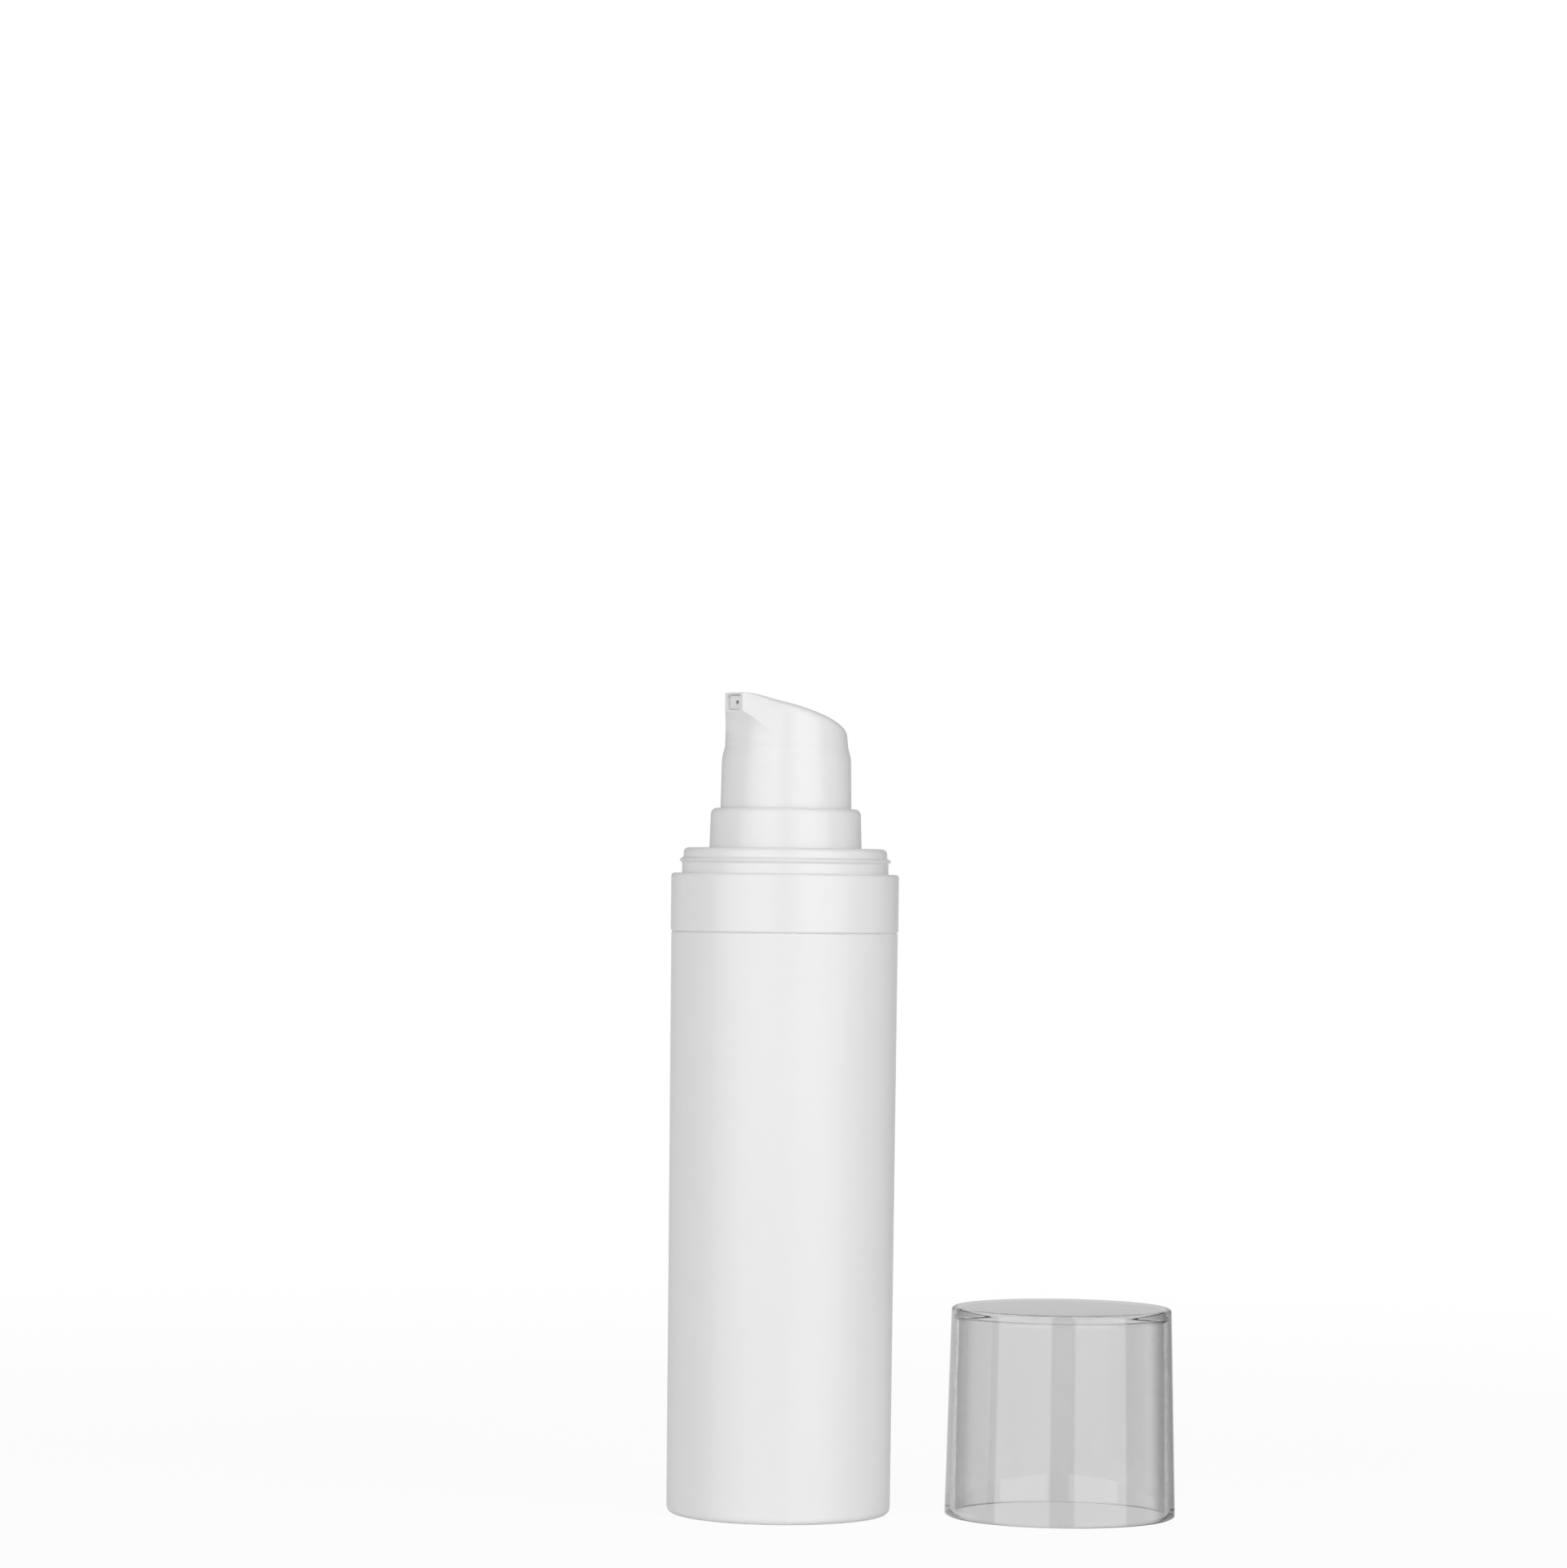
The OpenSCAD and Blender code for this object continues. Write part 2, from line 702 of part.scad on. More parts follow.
module actuator() {
    color(shell_white)
        difference() {
            union() {
                towards_nozzle()
                    difference() {
                        head_form();
                        beak_undercut();
                    }
                turned([
                    [0, z_skirt],
                    [skirt_r - rim_bevel, z_skirt],
                    [skirt_r, z_skirt + rim_bevel],
                    [skirt_r, z_turret],
                    [skirt_r - skirt_draft, z_step],
                    [head_r - shoulder_sink, z_head],
                    [0, z_head]
                ]);
            }
            head_hollow();
            translate([0, 0, z_skirt - cut])
                cylinder(r = boss_bore_r, h = z_boss - z_skirt + cut, $fn = round_n);
            translate([0, 0, z_boss - cut])
                cylinder(r = stem_r + running_gap, h = socket_h + cut + running_gap, $fn = round_n);
            translate([0, 0, z_boss])
                cylinder(r = passage_r, h = z_top - channel_drop - channel_r / 2 - z_boss, $fn = 48);
            towards_nozzle() {
                on_slant()
                    translate([0, 0, -channel_drop])
                        rotate([0, 90, 0])
                            cylinder(r = channel_r, h = insert_x / cos(head_slope) + channel_reach, $fn = 32);
                rounded_bar(mouth_w, mouth_h, mouth_corner_r, insert_x, nozzle_reach + cut, z_mouth);
            }
            towards_nozzle() on_slant()
                translate([-dish_back, 0, dish_r - dish_depth]) sphere(dish_r, $fn = round_n);
        }
}

module nozzle_insert() {
    w = mouth_w - 2 * snap_gap;
    h = mouth_h - 2 * snap_gap;
    color(shell_white)
        towards_nozzle()
            difference() {
                rounded_bar(w, h, mouth_corner_r - snap_gap, insert_x, insert_x + insert_t, z_mouth);
                translate([insert_x - cut, 0, z_mouth])
                    rotate([0, 90, 0]) cylinder(r = orifice_d / 2, h = insert_t + 2 * cut, $fn = 32);
            }
}

module cap() {
    z_in = cap_h - cap_top_t;
    z_wide = cap_h - cap_narrow_down;
    top_bore_r = cap_bore_r - cap_bore_draft - cap_narrow_w;
    color(cap_clear)
        translate([cap_x, cap_y, 0])
            turned(concat(
                [[cap_bore_r + cap_lead, 0],
                 [cap_rim_r - cap_rim_edge, 0],
                 [cap_rim_r, cap_rim_edge]],
                arc(cap_top_r - cap_edge_r, cap_h - cap_edge_r, cap_edge_r, 0, 90),
                [[0, cap_h],
                 [0, z_in]],
                arc(top_bore_r - cap_in_edge, z_in - cap_in_edge, cap_in_edge, 90, 0),
                [[top_bore_r, z_wide + cap_narrow_h],
                 [cap_bore_r - cap_bore_draft, z_wide],
                 [cap_bore_r, cap_lead]]
            ));
}

container();
follower_piston();
pump_closure();
shoulder_collar();
housing_gasket();
pump_housing();
check_ball();
piston_rod();
stem_seal();
upper_stem();
stem_guide();
return_spring();
actuator();
nozzle_insert();
cap();
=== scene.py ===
"""The looks of an airless pump bottle and of its clear cap, which stands beside it.

Meshes are worked out in millimetres and written in metres, in the frame's own axes:
+Z is up, the bottle's axis is the Z axis, and the photograph looks along +Y.
"""

import json
import logging
import math
from dataclasses import dataclass
from enum import Enum
from typing import Any, Sequence

import bpy
import numpy as np
from mathutils import Matrix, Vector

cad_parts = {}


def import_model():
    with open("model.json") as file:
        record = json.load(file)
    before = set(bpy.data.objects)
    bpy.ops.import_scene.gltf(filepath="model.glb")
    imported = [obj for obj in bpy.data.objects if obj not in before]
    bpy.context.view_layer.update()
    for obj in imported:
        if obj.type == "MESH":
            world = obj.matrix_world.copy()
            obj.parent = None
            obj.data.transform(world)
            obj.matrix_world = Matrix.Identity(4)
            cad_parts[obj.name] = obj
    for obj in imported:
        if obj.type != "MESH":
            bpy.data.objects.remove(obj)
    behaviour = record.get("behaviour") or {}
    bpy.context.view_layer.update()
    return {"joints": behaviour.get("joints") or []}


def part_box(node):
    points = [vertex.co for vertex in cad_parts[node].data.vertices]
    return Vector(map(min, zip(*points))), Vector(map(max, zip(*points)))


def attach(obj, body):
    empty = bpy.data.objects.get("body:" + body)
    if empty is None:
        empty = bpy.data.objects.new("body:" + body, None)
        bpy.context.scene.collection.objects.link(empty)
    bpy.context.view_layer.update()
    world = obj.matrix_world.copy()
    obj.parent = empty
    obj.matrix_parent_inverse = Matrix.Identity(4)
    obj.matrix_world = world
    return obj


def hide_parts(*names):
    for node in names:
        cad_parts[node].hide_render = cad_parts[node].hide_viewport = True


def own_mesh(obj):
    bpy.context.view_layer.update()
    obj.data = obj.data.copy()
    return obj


MM = 0.001
EVEN = (1.0, 1.0, 1.0)
log = logging.getLogger("airless_bottle")

Array = np.ndarray


# Shader maths

class Value:
    """A float socket that takes part in Python expressions, each of which adds Math nodes."""

    def __init__(self, graph: "Graph", socket: bpy.types.NodeSocket) -> None:
        """Keeps the socket and the graph that its expressions grow."""
        self.graph = graph
        self.socket = socket

    def _math(self, operation: str, first: Any, second: Any) -> "Value":
        """Adds a Math node with this operation and two inputs, and gives its result."""
        node = self.graph.node("ShaderNodeMath", {"operation": operation}, {0: first, 1: second})
        return Value(self.graph, node.outputs[0])

    def __add__(self, other: Any) -> "Value":
        """Sum with a number or a Value."""
        return self._math("ADD", self, other)

    __radd__ = __add__

    def __sub__(self, other: Any) -> "Value":
        """Difference, this less the other."""
        return self._math("SUBTRACT", self, other)

    def __rsub__(self, other: Any) -> "Value":
        """Difference, the other less this."""
        return self._math("SUBTRACT", other, self)

    def __mul__(self, other: Any) -> "Value":
        """Product with a number or a Value."""
        return self._math("MULTIPLY", self, other)

    __rmul__ = __mul__

    def angle_from(self, other: Any) -> "Value":
        """The angle in radians whose tangent is this over the other."""
        return self._math("ARCTAN2", self, other)

    def larger(self, other: Any) -> "Value":
        """The larger of this and the other."""
        return self._math("MAXIMUM", self, other)

    def step(self, low: float, high: float) -> "Value":
        """A smooth step from 0 at low to 1 at high."""
        node = self.graph.node("ShaderNodeMapRange", {"interpolation_type": "SMOOTHSTEP"},
                               {"Value": self, "From Min": low, "From Max": high})
        return Value(self.graph, node.outputs["Result"])

    def within(self, low: float, high: float, blur: float) -> "Value":
        """1 between low and high and 0 outside, with smooth steps that are blur wide."""
        half = blur / 2
        return self.step(low - half, low + half) * (1.0 - self.step(high - half, high + half))


class Graph:
    """A shader tree that is filled by expressions and by one method for every other node."""

    def __init__(self, tree: bpy.types.NodeTree) -> None:
        """Empties the tree and keeps it."""
        self.tree = tree
        tree.nodes.clear()

    def node(self, kind: str, settings: dict[str, Any] | None = None,
             inputs: dict[Any, Any] | None = None) -> bpy.types.Node:
        """Adds a node.

        Args:
            kind: the node's type name.
            settings: its own settings, which are set first.
            inputs: values, Values or sockets by the input's name or number.

        Returns:
            The node.
        """
        node = self.tree.nodes.new(kind)
        for key, value in (settings or {}).items():
            setattr(node, key, value)
        for key, value in (inputs or {}).items():
            if isinstance(value, Value):
                self.tree.links.new(value.socket, node.inputs[key])
            elif isinstance(value, bpy.types.NodeSocket):
                self.tree.links.new(value, node.inputs[key])
            else:
                node.inputs[key].default_value = value
        return node

    def value(self, kind: str, output: Any, settings: dict[str, Any] | None = None,
              inputs: dict[Any, Any] | None = None) -> Value:
        """Adds a node and gives one of its outputs as a Value."""
        return Value(self, self.node(kind, settings, inputs).outputs[output])

    def place(self, stretch: Sequence[float] = EVEN) -> bpy.types.NodeSocket:
        """Object coordinates, scaled along each axis.

        Args:
            stretch: the scale along X, Y and Z. A pattern is longer where it is smaller.

        Returns:
            The vector's socket.
        """
        source = self.node("ShaderNodeTexCoord").outputs["Object"]
        mapping = self.node("ShaderNodeMapping", None, {"Vector": source, "Scale": tuple(stretch)})
        return mapping.outputs["Vector"]

    def noise(self, size: float, stretch: Sequence[float] = EVEN, detail: float = 3.0) -> Value:
        """Fractal noise whose largest grain is about size metres."""
        return self.value("ShaderNodeTexNoise", "Fac", None,
                          {"Vector": self.place(stretch), "Scale": 1.0 / size, "Detail": detail})

    def tint(self, factor: Value, low: Any, high: Sequence[float]) -> bpy.types.NodeSocket:
        """Mixes two colours.

        Args:
            factor: the share of the second colour, from 0 to 1.
            low: the first colour, as three numbers or as a socket.
            high: the second colour.

        Returns:
            The mixed colour's socket.
        """
        first = low if isinstance(low, bpy.types.NodeSocket) else (*low, 1.0)
        node = self.node("ShaderNodeMix", {"data_type": "RGBA"}, {0: factor, 6: first, 7: (*high, 1.0)})
        return node.outputs[2]

    def bump(self, height: Value, depth: float, **under: bpy.types.NodeSocket) -> bpy.types.NodeSocket:
        """A Normal from a height between 0 and 1, depth metres deep, on another Normal if one is given."""
        inputs = {"Height": height, "Distance": depth, "Strength": 1.0, **under}
        return self.node("ShaderNodeBump", None, inputs).outputs["Normal"]

    def ray_kinds(self) -> tuple[Value, Value, Value]:
        """Whether a ray comes from the camera, from gloss and through clear plastic, as three Values."""
        path = self.node("ShaderNodeLightPath")
        names = ("Is Camera Ray", "Is Glossy Ray", "Is Transmission Ray")
        return tuple(Value(self, path.outputs[name]) for name in names)

    def surface(self, shader: bpy.types.Node, **more: bpy.types.NodeSocket) -> None:
        """Makes the shader the material's surface, with other outputs by their names."""
        self.node("ShaderNodeOutputMaterial", None, {"Surface": shader.outputs[0], **more})


def fresh_material(name: str) -> tuple[bpy.types.Material, Graph]:
    """Makes a material with an empty tree, and gives both."""
    material = bpy.data.materials.new(name)
    material.use_nodes = True
    return material, Graph(material.node_tree)


def shaded(colour: Sequence[float], level: float) -> tuple[float, ...]:
    """A colour at a share of its own level."""
    return tuple(c * level for c in colour)


# Finishes

@dataclass(frozen=True)
class Moulded:
    """Opaque moulded plastic or rubber: faint flow marks, and the fine grain that the mould leaves."""

    name: str
    slot: str
    colour: tuple[float, float, float]
    roughness: float
    shade_change: float = 0.02
    gloss_change: float = 0.05
    flow_size: float = 9.0 * MM
    flow_share: float = 0.7
    cloud_size: float = 2.2 * MM
    grain_size: float = 0.35 * MM
    grain_depth: float = 0.0012 * MM
    ripple_size: float = 5.0 * MM
    ripple_depth: float = 0.012 * MM
    bend: float = 1.49

    def material(self) -> bpy.types.Material:
        """Builds the finish.

        The melt's flow marks are noise drawn out along the height; they change the shade and the
        gloss a little. A slow ripple and a fine grain are the skin's relief.

        Returns:
            The material.
        """
        material, graph = fresh_material(self.name)
        flow = graph.noise(self.flow_size, (1.0, 1.0, 0.22), 4.0)
        cloud = graph.noise(self.cloud_size, EVEN, 2.0)
        grain = graph.noise(self.grain_size, EVEN, 2.0)
        ripple = graph.noise(self.ripple_size, (1.0, 1.0, 0.5), 1.0)
        marks = (flow * self.flow_share + cloud * (1.0 - self.flow_share)).step(0.3, 0.7)
        shader = graph.node("ShaderNodeBsdfPrincipled", None, {
            "Base Color": graph.tint(marks, shaded(self.colour, 1.0 - self.shade_change), self.colour),
            "Roughness": self.roughness + (cloud - 0.5) * self.gloss_change,
            "IOR": self.bend,
            "Normal": graph.bump(grain, self.grain_depth, Normal=graph.bump(ripple, self.ripple_depth)),
        })
        graph.surface(shader)
        return material


@dataclass(frozen=True)
class Clear:
    """Clear plastic with a slight grey cast, which each of its surfaces adds to.

    The body bends light little, as a thin wall does, and a coat gives the gloss of its surfaces.
    Where a surface is seen at a slant, its colour is darkened: painted shade for the dark bands at the cap's
    edges. limb gives where that starts and ends.
    """

    name: str
    slot: str
    colour: tuple[float, float, float]
    roughness: float
    bend: float = 1.05
    gloss: float = 1.7
    depth_shade: float = 0.5
    depth_density: float = 16.0
    limb: tuple[float, float] = (0.4, 0.75)
    painted_limb_shade: float = 0.42
    haze_size: float = 6.0 * MM
    haze_shade: float = 0.015
    scuff_size: float = 0.8 * MM
    wave_size: float = 8.0 * MM
    wave_depth: float = 0.008 * MM

    def material(self) -> bpy.types.Material:
        """Builds the finish.

        Faint haze, small upright scuffs and a slow waviness of the moulded wall break up its gloss.

        Returns:
            The material.
        """
        material, graph = fresh_material(self.name)
        haze = graph.noise(self.haze_size, (1.0, 1.0, 0.4), 4.0)
        scuff = graph.noise(self.scuff_size, (1.0, 1.0, 0.15), 3.0).step(0.62, 0.8)
        wave = graph.noise(self.wave_size, (1.0, 1.0, 0.25), 1.0)
        body = graph.tint(haze.step(0.3, 0.7), shaded(self.colour, 1.0 - self.haze_shade), self.colour)
        # Painted shade: the base colour darkens where the surface faces away from the viewer, so the cap's
        # edges look dark.
        painted_limb_mask = graph.value("ShaderNodeLayerWeight", "Facing").step(*self.limb)
        shader = graph.node("ShaderNodeBsdfPrincipled", None, {
            "Base Color": graph.tint(painted_limb_mask, body, shaded(self.colour, 1.0 - self.painted_limb_shade)),
            "Roughness": self.roughness + haze * 0.02 + scuff * 0.04,
            "IOR": self.bend,
            "Transmission Weight": 1.0,
            "Coat Weight": 1.0,
            "Coat IOR": self.gloss,
            "Coat Roughness": self.roughness,
            "Normal": graph.bump(wave, self.wave_depth),
        })
        depth = graph.node("ShaderNodeVolumeAbsorption", None, {
            "Color": (*(self.depth_shade,) * 3, 1.0), "Density": self.depth_density})
        graph.surface(shader, Volume=depth.outputs[0])
        return material


@dataclass(frozen=True)
class Steel:
    """Bright steel with fine marks from drawing or polishing."""

    name: str
    slot: str
    colour: tuple[float, float, float]
    roughness: float
    mark_size: float
    mark_shade: float = 0.14
    mark_gloss: float = 0.1
    mark_depth: float = 0.002 * MM

    def material(self) -> bpy.types.Material:
        """Builds the finish, whose marks change the gloss and the shade.

        Returns:
            The material.
        """
        material, graph = fresh_material(self.name)
        marks = graph.noise(self.mark_size, (1.0, 1.0, 6.0), 4.0)
        shader = graph.node("ShaderNodeBsdfPrincipled", None, {
            "Base Color": graph.tint(marks, shaded(self.colour, 1.0 - self.mark_shade), self.colour),
            "Metallic": 1.0,
            "Roughness": self.roughness + marks * self.mark_gloss,
            "Normal": graph.bump(marks, self.mark_depth),
        })
        graph.surface(shader)
        return material


class Finish(Enum):
    """The finishes of this bottle's pieces."""

    BARREL = Moulded("satin_barrel_plastic", "shell_white", (0.80, 0.80, 0.80), 0.38)
    SHELL = Moulded("white_shell_plastic", "shell_white", (0.80, 0.80, 0.80), 0.25)
    INNER = Moulded("natural_inner_plastic", "inner_natural", (0.74, 0.77, 0.77), 0.42)
    FOLLOWER = Moulded("soft_follower_plastic", "follower_white", (0.78, 0.78, 0.74), 0.5)
    SEAL = Moulded("soft_seal_plastic", "seal_cream", (0.74, 0.71, 0.62), 0.5)
    GASKET = Moulded("grey_gasket_rubber", "gasket_grey", (0.36, 0.38, 0.4), 0.75, 0.08, 0.1)
    SPRING = Steel("drawn_spring_wire", "spring_steel", (0.62, 0.63, 0.65), 0.22, 0.3 * MM)
    BALL = Steel("polished_ball", "ball_steel", (0.72, 0.72, 0.74), 0.08, 0.5 * MM)
    CAP = Clear("clear_cap_plastic", "cap_clear", (0.77, 0.77, 0.77), 0.01)

    def material(self) -> bpy.types.Material:
        """Gives its one material, which is built when it is first asked for."""
        return bpy.data.materials.get(self.value.name) or self.value.material()


# Outlines and meshes

def arc_points(corner: Array, into: Array, out: Array, reach: Array, steps: int) -> Array:
    """Points of the circular arc that rounds a corner.

    The arc is the rational quadratic curve from corner - reach * into to corner + reach * out, with
    the corner as middle point and the cosine of half the turn as its weight.

    Args:
        corner: corner points, shape (..., 2).
        into: unit directions that lead to the corner.
        out: unit directions that leave it.
        reach: tangent lengths, shape (...).
        steps: how many points each arc has.

    Returns:
        Points, shape (..., steps, 2).
    """
    turn = np.arccos(np.clip((into * out).sum(-1), -1.0, 1.0))
    weight = np.cos(turn / 2)[..., None, None]
    s = np.linspace(0.0, 1.0, steps)[:, None]
    first, middle, last = (1 - s) ** 2, 2 * s * (1 - s) * weight, s ** 2
    start = (corner - reach[..., None] * into)[..., None, :]
    end = (corner + reach[..., None] * out)[..., None, :]
    return (first * start + middle * corner[..., None, :] + last * end) / (first + middle + last)


def soften(corners: Array, radius: float, steps: int = 6, hold: float = 0.12) -> Array:
    """Rounds the corners of a closed outline.

    A corner that turns little belongs to an arc of short sides, and is rounded as far as its sides
    allow. Two more points beside each arc keep long sides flat when they are shaded.

    Args:
        corners: (k, 2) corners in order, without the first repeated.
        radius: the rounding of the other corners.
        steps: points on each arc.
        hold: distance of the two more points from the arc.

    Returns:
        (k * (steps + 2), 2) points in order.
    """
    slight_turn = math.radians(25)
    most_of_side, hold_share, least_side = 0.44, 0.2, 0.02
    into = corners - np.roll(corners, 1, 0)
    out = np.roll(into, -1, 0)
    before, after = np.linalg.norm(into, axis=1), np.linalg.norm(out, axis=1)
    into, out = into / before[:, None], out / after[:, None]
    turn = np.arccos(np.clip((into * out).sum(1), -1.0, 1.0))
    wished = np.where(turn < slight_turn, np.inf, radius * np.tan(turn / 2))
    reach = np.minimum(wished, most_of_side * np.minimum(before, after))
    arcs = arc_points(corners, into, out, reach, steps)
    lead = np.minimum(hold, hold_share * (before - 2 * reach).clip(least_side))[:, None]
    tail = np.minimum(hold, hold_share * (after - 2 * reach).clip(least_side))[:, None]
    led = np.concatenate([(arcs[:, 0] - lead * into)[:, None], arcs,
                          (arcs[:, -1] + tail * out)[:, None]], 1)
    return led.reshape(-1, 2)


def half_section(node: str, centre: tuple[float, float] = (0.0, 0.0)) -> tuple[Array, bool]:
    """Reads a turned node's half-section from the frame.

    A turned solid's mesh has edges in the half-plane y = 0, x > 0 of its axis. Chained together,
    they are its outline. A flat disc has none, so an outline with open ends runs on to the axis.

    Args:
        node: the CAD node's name.
        centre: where its axis stands, in millimetres.

    Returns:
        The corners as (radius, height) in millimetres, and whether they form a closed loop.
    """
    off_plane = 2e-3
    mesh = bpy.data.objects[node].data
    points = np.zeros(len(mesh.vertices) * 3)
    mesh.vertices.foreach_get("co", points)
    points = points.reshape(-1, 3) / MM - (*centre, 0.0)
    edges = np.zeros(len(mesh.edges) * 2, int)
    mesh.edges.foreach_get("vertices", edges)
    edges = edges.reshape(-1, 2)
    flat = (np.abs(points[:, 1]) < off_plane) & (points[:, 0] > -off_plane)
    edges = edges[flat[edges].all(1)]
    places = np.round(points[:, [0, 2]], 3)
    beside: dict[tuple[float, float], set[tuple[float, float]]] = {}
    for one, two in places[edges].tolist():
        if one != two:
            beside.setdefault(tuple(one), set()).add(tuple(two))
            beside.setdefault(tuple(two), set()).add(tuple(one))
    ends = [place for place, near in beside.items() if len(near) == 1]
    place = min(ends or beside)
    chain = [place]
    while ahead := beside[place] - set(chain):
        place = min(ahead)
        chain.append(place)
    if ends:
        chain = [(0.0, chain[0][1]), *chain, (0.0, chain[-1][1])]
    return np.array(chain), not ends


def grid_numbers(rows: int, columns: int, poles: bool) -> Array:
    """Numbers the vertices of a grid.

    Args:
        rows: its rows.
        columns: its columns.
        poles: whether the first and the last row are one point each.

    Returns:
        (rows, columns) vertex numbers.
    """
    index = np.arange(rows * columns).reshape(rows, columns)
    if poles:
        index[0], index[-1] = index[0, 0], index[-1, 0]
    return index


def grid_faces(index: Array, wrap_rows: bool = False) -> Array:
    """Lists the quads of a grid whose last column joins the first.

    Args:
        index: (rows, columns) vertex numbers.
        wrap_rows: whether the last row joins the first too.

    Returns:
        (n, 4) vertex numbers.
    """
    down = np.concatenate([index, index[:1]], 0) if wrap_rows else index
    down = np.concatenate([down, down[:, :1]], 1)
    return np.stack([down[:-1, :-1], down[:-1, 1:], down[1:, 1:], down[1:, :-1]], -1).reshape(-1, 4)


def on_circle(points: Array) -> Array:
    """The points of the unit circle at the same bearings as these, (n, 2)."""
    bearing = np.arctan2(points[:, 1], points[:, 0])
    return np.column_stack([np.cos(bearing), np.sin(bearing)])


def turned(outline: Array, closed: bool, sides: int,
           centre: tuple[float, float] = (0.0, 0.0)) -> tuple[Array, Array]:
    """Turns an outline round a vertical axis.

    A point of the surface is (r cos a, r sin a, z), with (r, z) along the outline and a all round.
    Where an open outline meets the axis, its ring is one point.

    Args:
        outline: (k, 2) radii and heights.
        closed: whether the last point joins the first.
        sides: points round the axis.
        centre: where the axis stands.

    Returns:
        The vertices in millimetres, and the faces as (n, 4) vertex numbers.
    """
    angle = np.linspace(0.0, 2 * np.pi, sides, endpoint=False)
    radius, height = outline[:, :1], np.repeat(outline[:, 1:], sides, 1)
    x, y = centre[0] + radius * np.cos(angle), centre[1] + radius * np.sin(angle)
    faces = grid_faces(grid_numbers(len(outline), sides, not closed), closed)
    return np.stack([x, y, height], -1).reshape(-1, 3), faces


def linked(name: str, data: bpy.types.ID) -> bpy.types.Object:
    """Makes an object of the data and puts it into the scene."""
    thing = bpy.data.objects.new(name, data)
    bpy.context.scene.collection.objects.link(thing)
    return thing


def new_piece(name: str, body: str, finish: Finish, node: str, points: Array,
              quads: Array) -> bpy.types.Object:
    """Makes a smooth piece from points in millimetres, and reports it.

    The sign of the volume, summed over the faces' triangles, tells whether they face outwards.

    Args:
        name: the piece's name.
        body: the body that it moves with.
        finish: its finish.
        node: the CAD node that it stands for.
        points: (n, 3) vertices. Those that no face uses are left out.
        quads: (m, 4) vertex numbers. A triangle repeats one of its corners.

    Returns:
        The new object, at the origin.
    """
    used, place = np.unique(quads, return_inverse=True)
    place = place.reshape(quads.shape)
    corners = points[used][place]
    volume = sum((corners[:, 0] * np.cross(corners[:, k], corners[:, k + 1])).sum() for k in (1, 2))
    if volume < 0:
        place = place[:, ::-1]
    faces = [list(dict.fromkeys(quad)) for quad in place.tolist()]
    mesh = bpy.data.meshes.new(name)
    mesh.from_pydata((points[used] * MM).tolist(), [], faces)
    mesh.shade_smooth()
    mesh.materials.append(finish.material())
    piece = linked(name, mesh)
    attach(piece, body)
    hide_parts(node)
    log.info("%s: %d faces on %s", name, len(faces), body)
    return piece


def middle_of(node: str) -> tuple[float, float]:
    """Where the middle of a node's box stands, in metres."""
    low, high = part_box(node)
    return (low.x + high.x) / 2, (low.y + high.y) / 2


# Pieces

@dataclass
class TurnedPiece:
    """A piece that is turned from its CAD node's own half-section, with rounded corners."""

    node: str
    name: str
    body: str
    finish: Finish
    corner: float = 0.1
    sides: int = 128
    centre: tuple[float, float] = (0.0, 0.0)

    def build(self) -> bpy.types.Object:
        """Builds the piece.

        Returns:
            The piece.
        """
        corners, closed = half_section(self.node, self.centre)
        outline = soften(corners, self.corner)
        if not closed:
            arc = len(outline) // len(corners)
            outline = np.concatenate([corners[:1], outline[arc:-arc], corners[-1:]])
        points, faces = turned(outline, closed, self.sides, self.centre)
        return new_piece(self.name, self.body, self.finish, self.node, points, faces)


@dataclass
class Bottle:
    """The barrel, the collar over its rim, the closure that carries the pump, and the follower."""

    shell_sides: int = 180
    barrel_corner: float = 0.1
    collar_corner: float = 0.14

    def build(self) -> None:
        """Builds the bottle's own pieces."""
        for piece in (
            TurnedPiece("container", "barrel", "bottle", Finish.BARREL, self.barrel_corner, self.shell_sides),
            TurnedPiece("shoulder_collar", "collar", "bottle", Finish.SHELL, self.collar_corner,
                        self.shell_sides),
            TurnedPiece("pump_closure", "closure_plug", "bottle", Finish.INNER),
            TurnedPiece("follower_piston", "follower", "follower", Finish.FOLLOWER),
        ):
            piece.build()


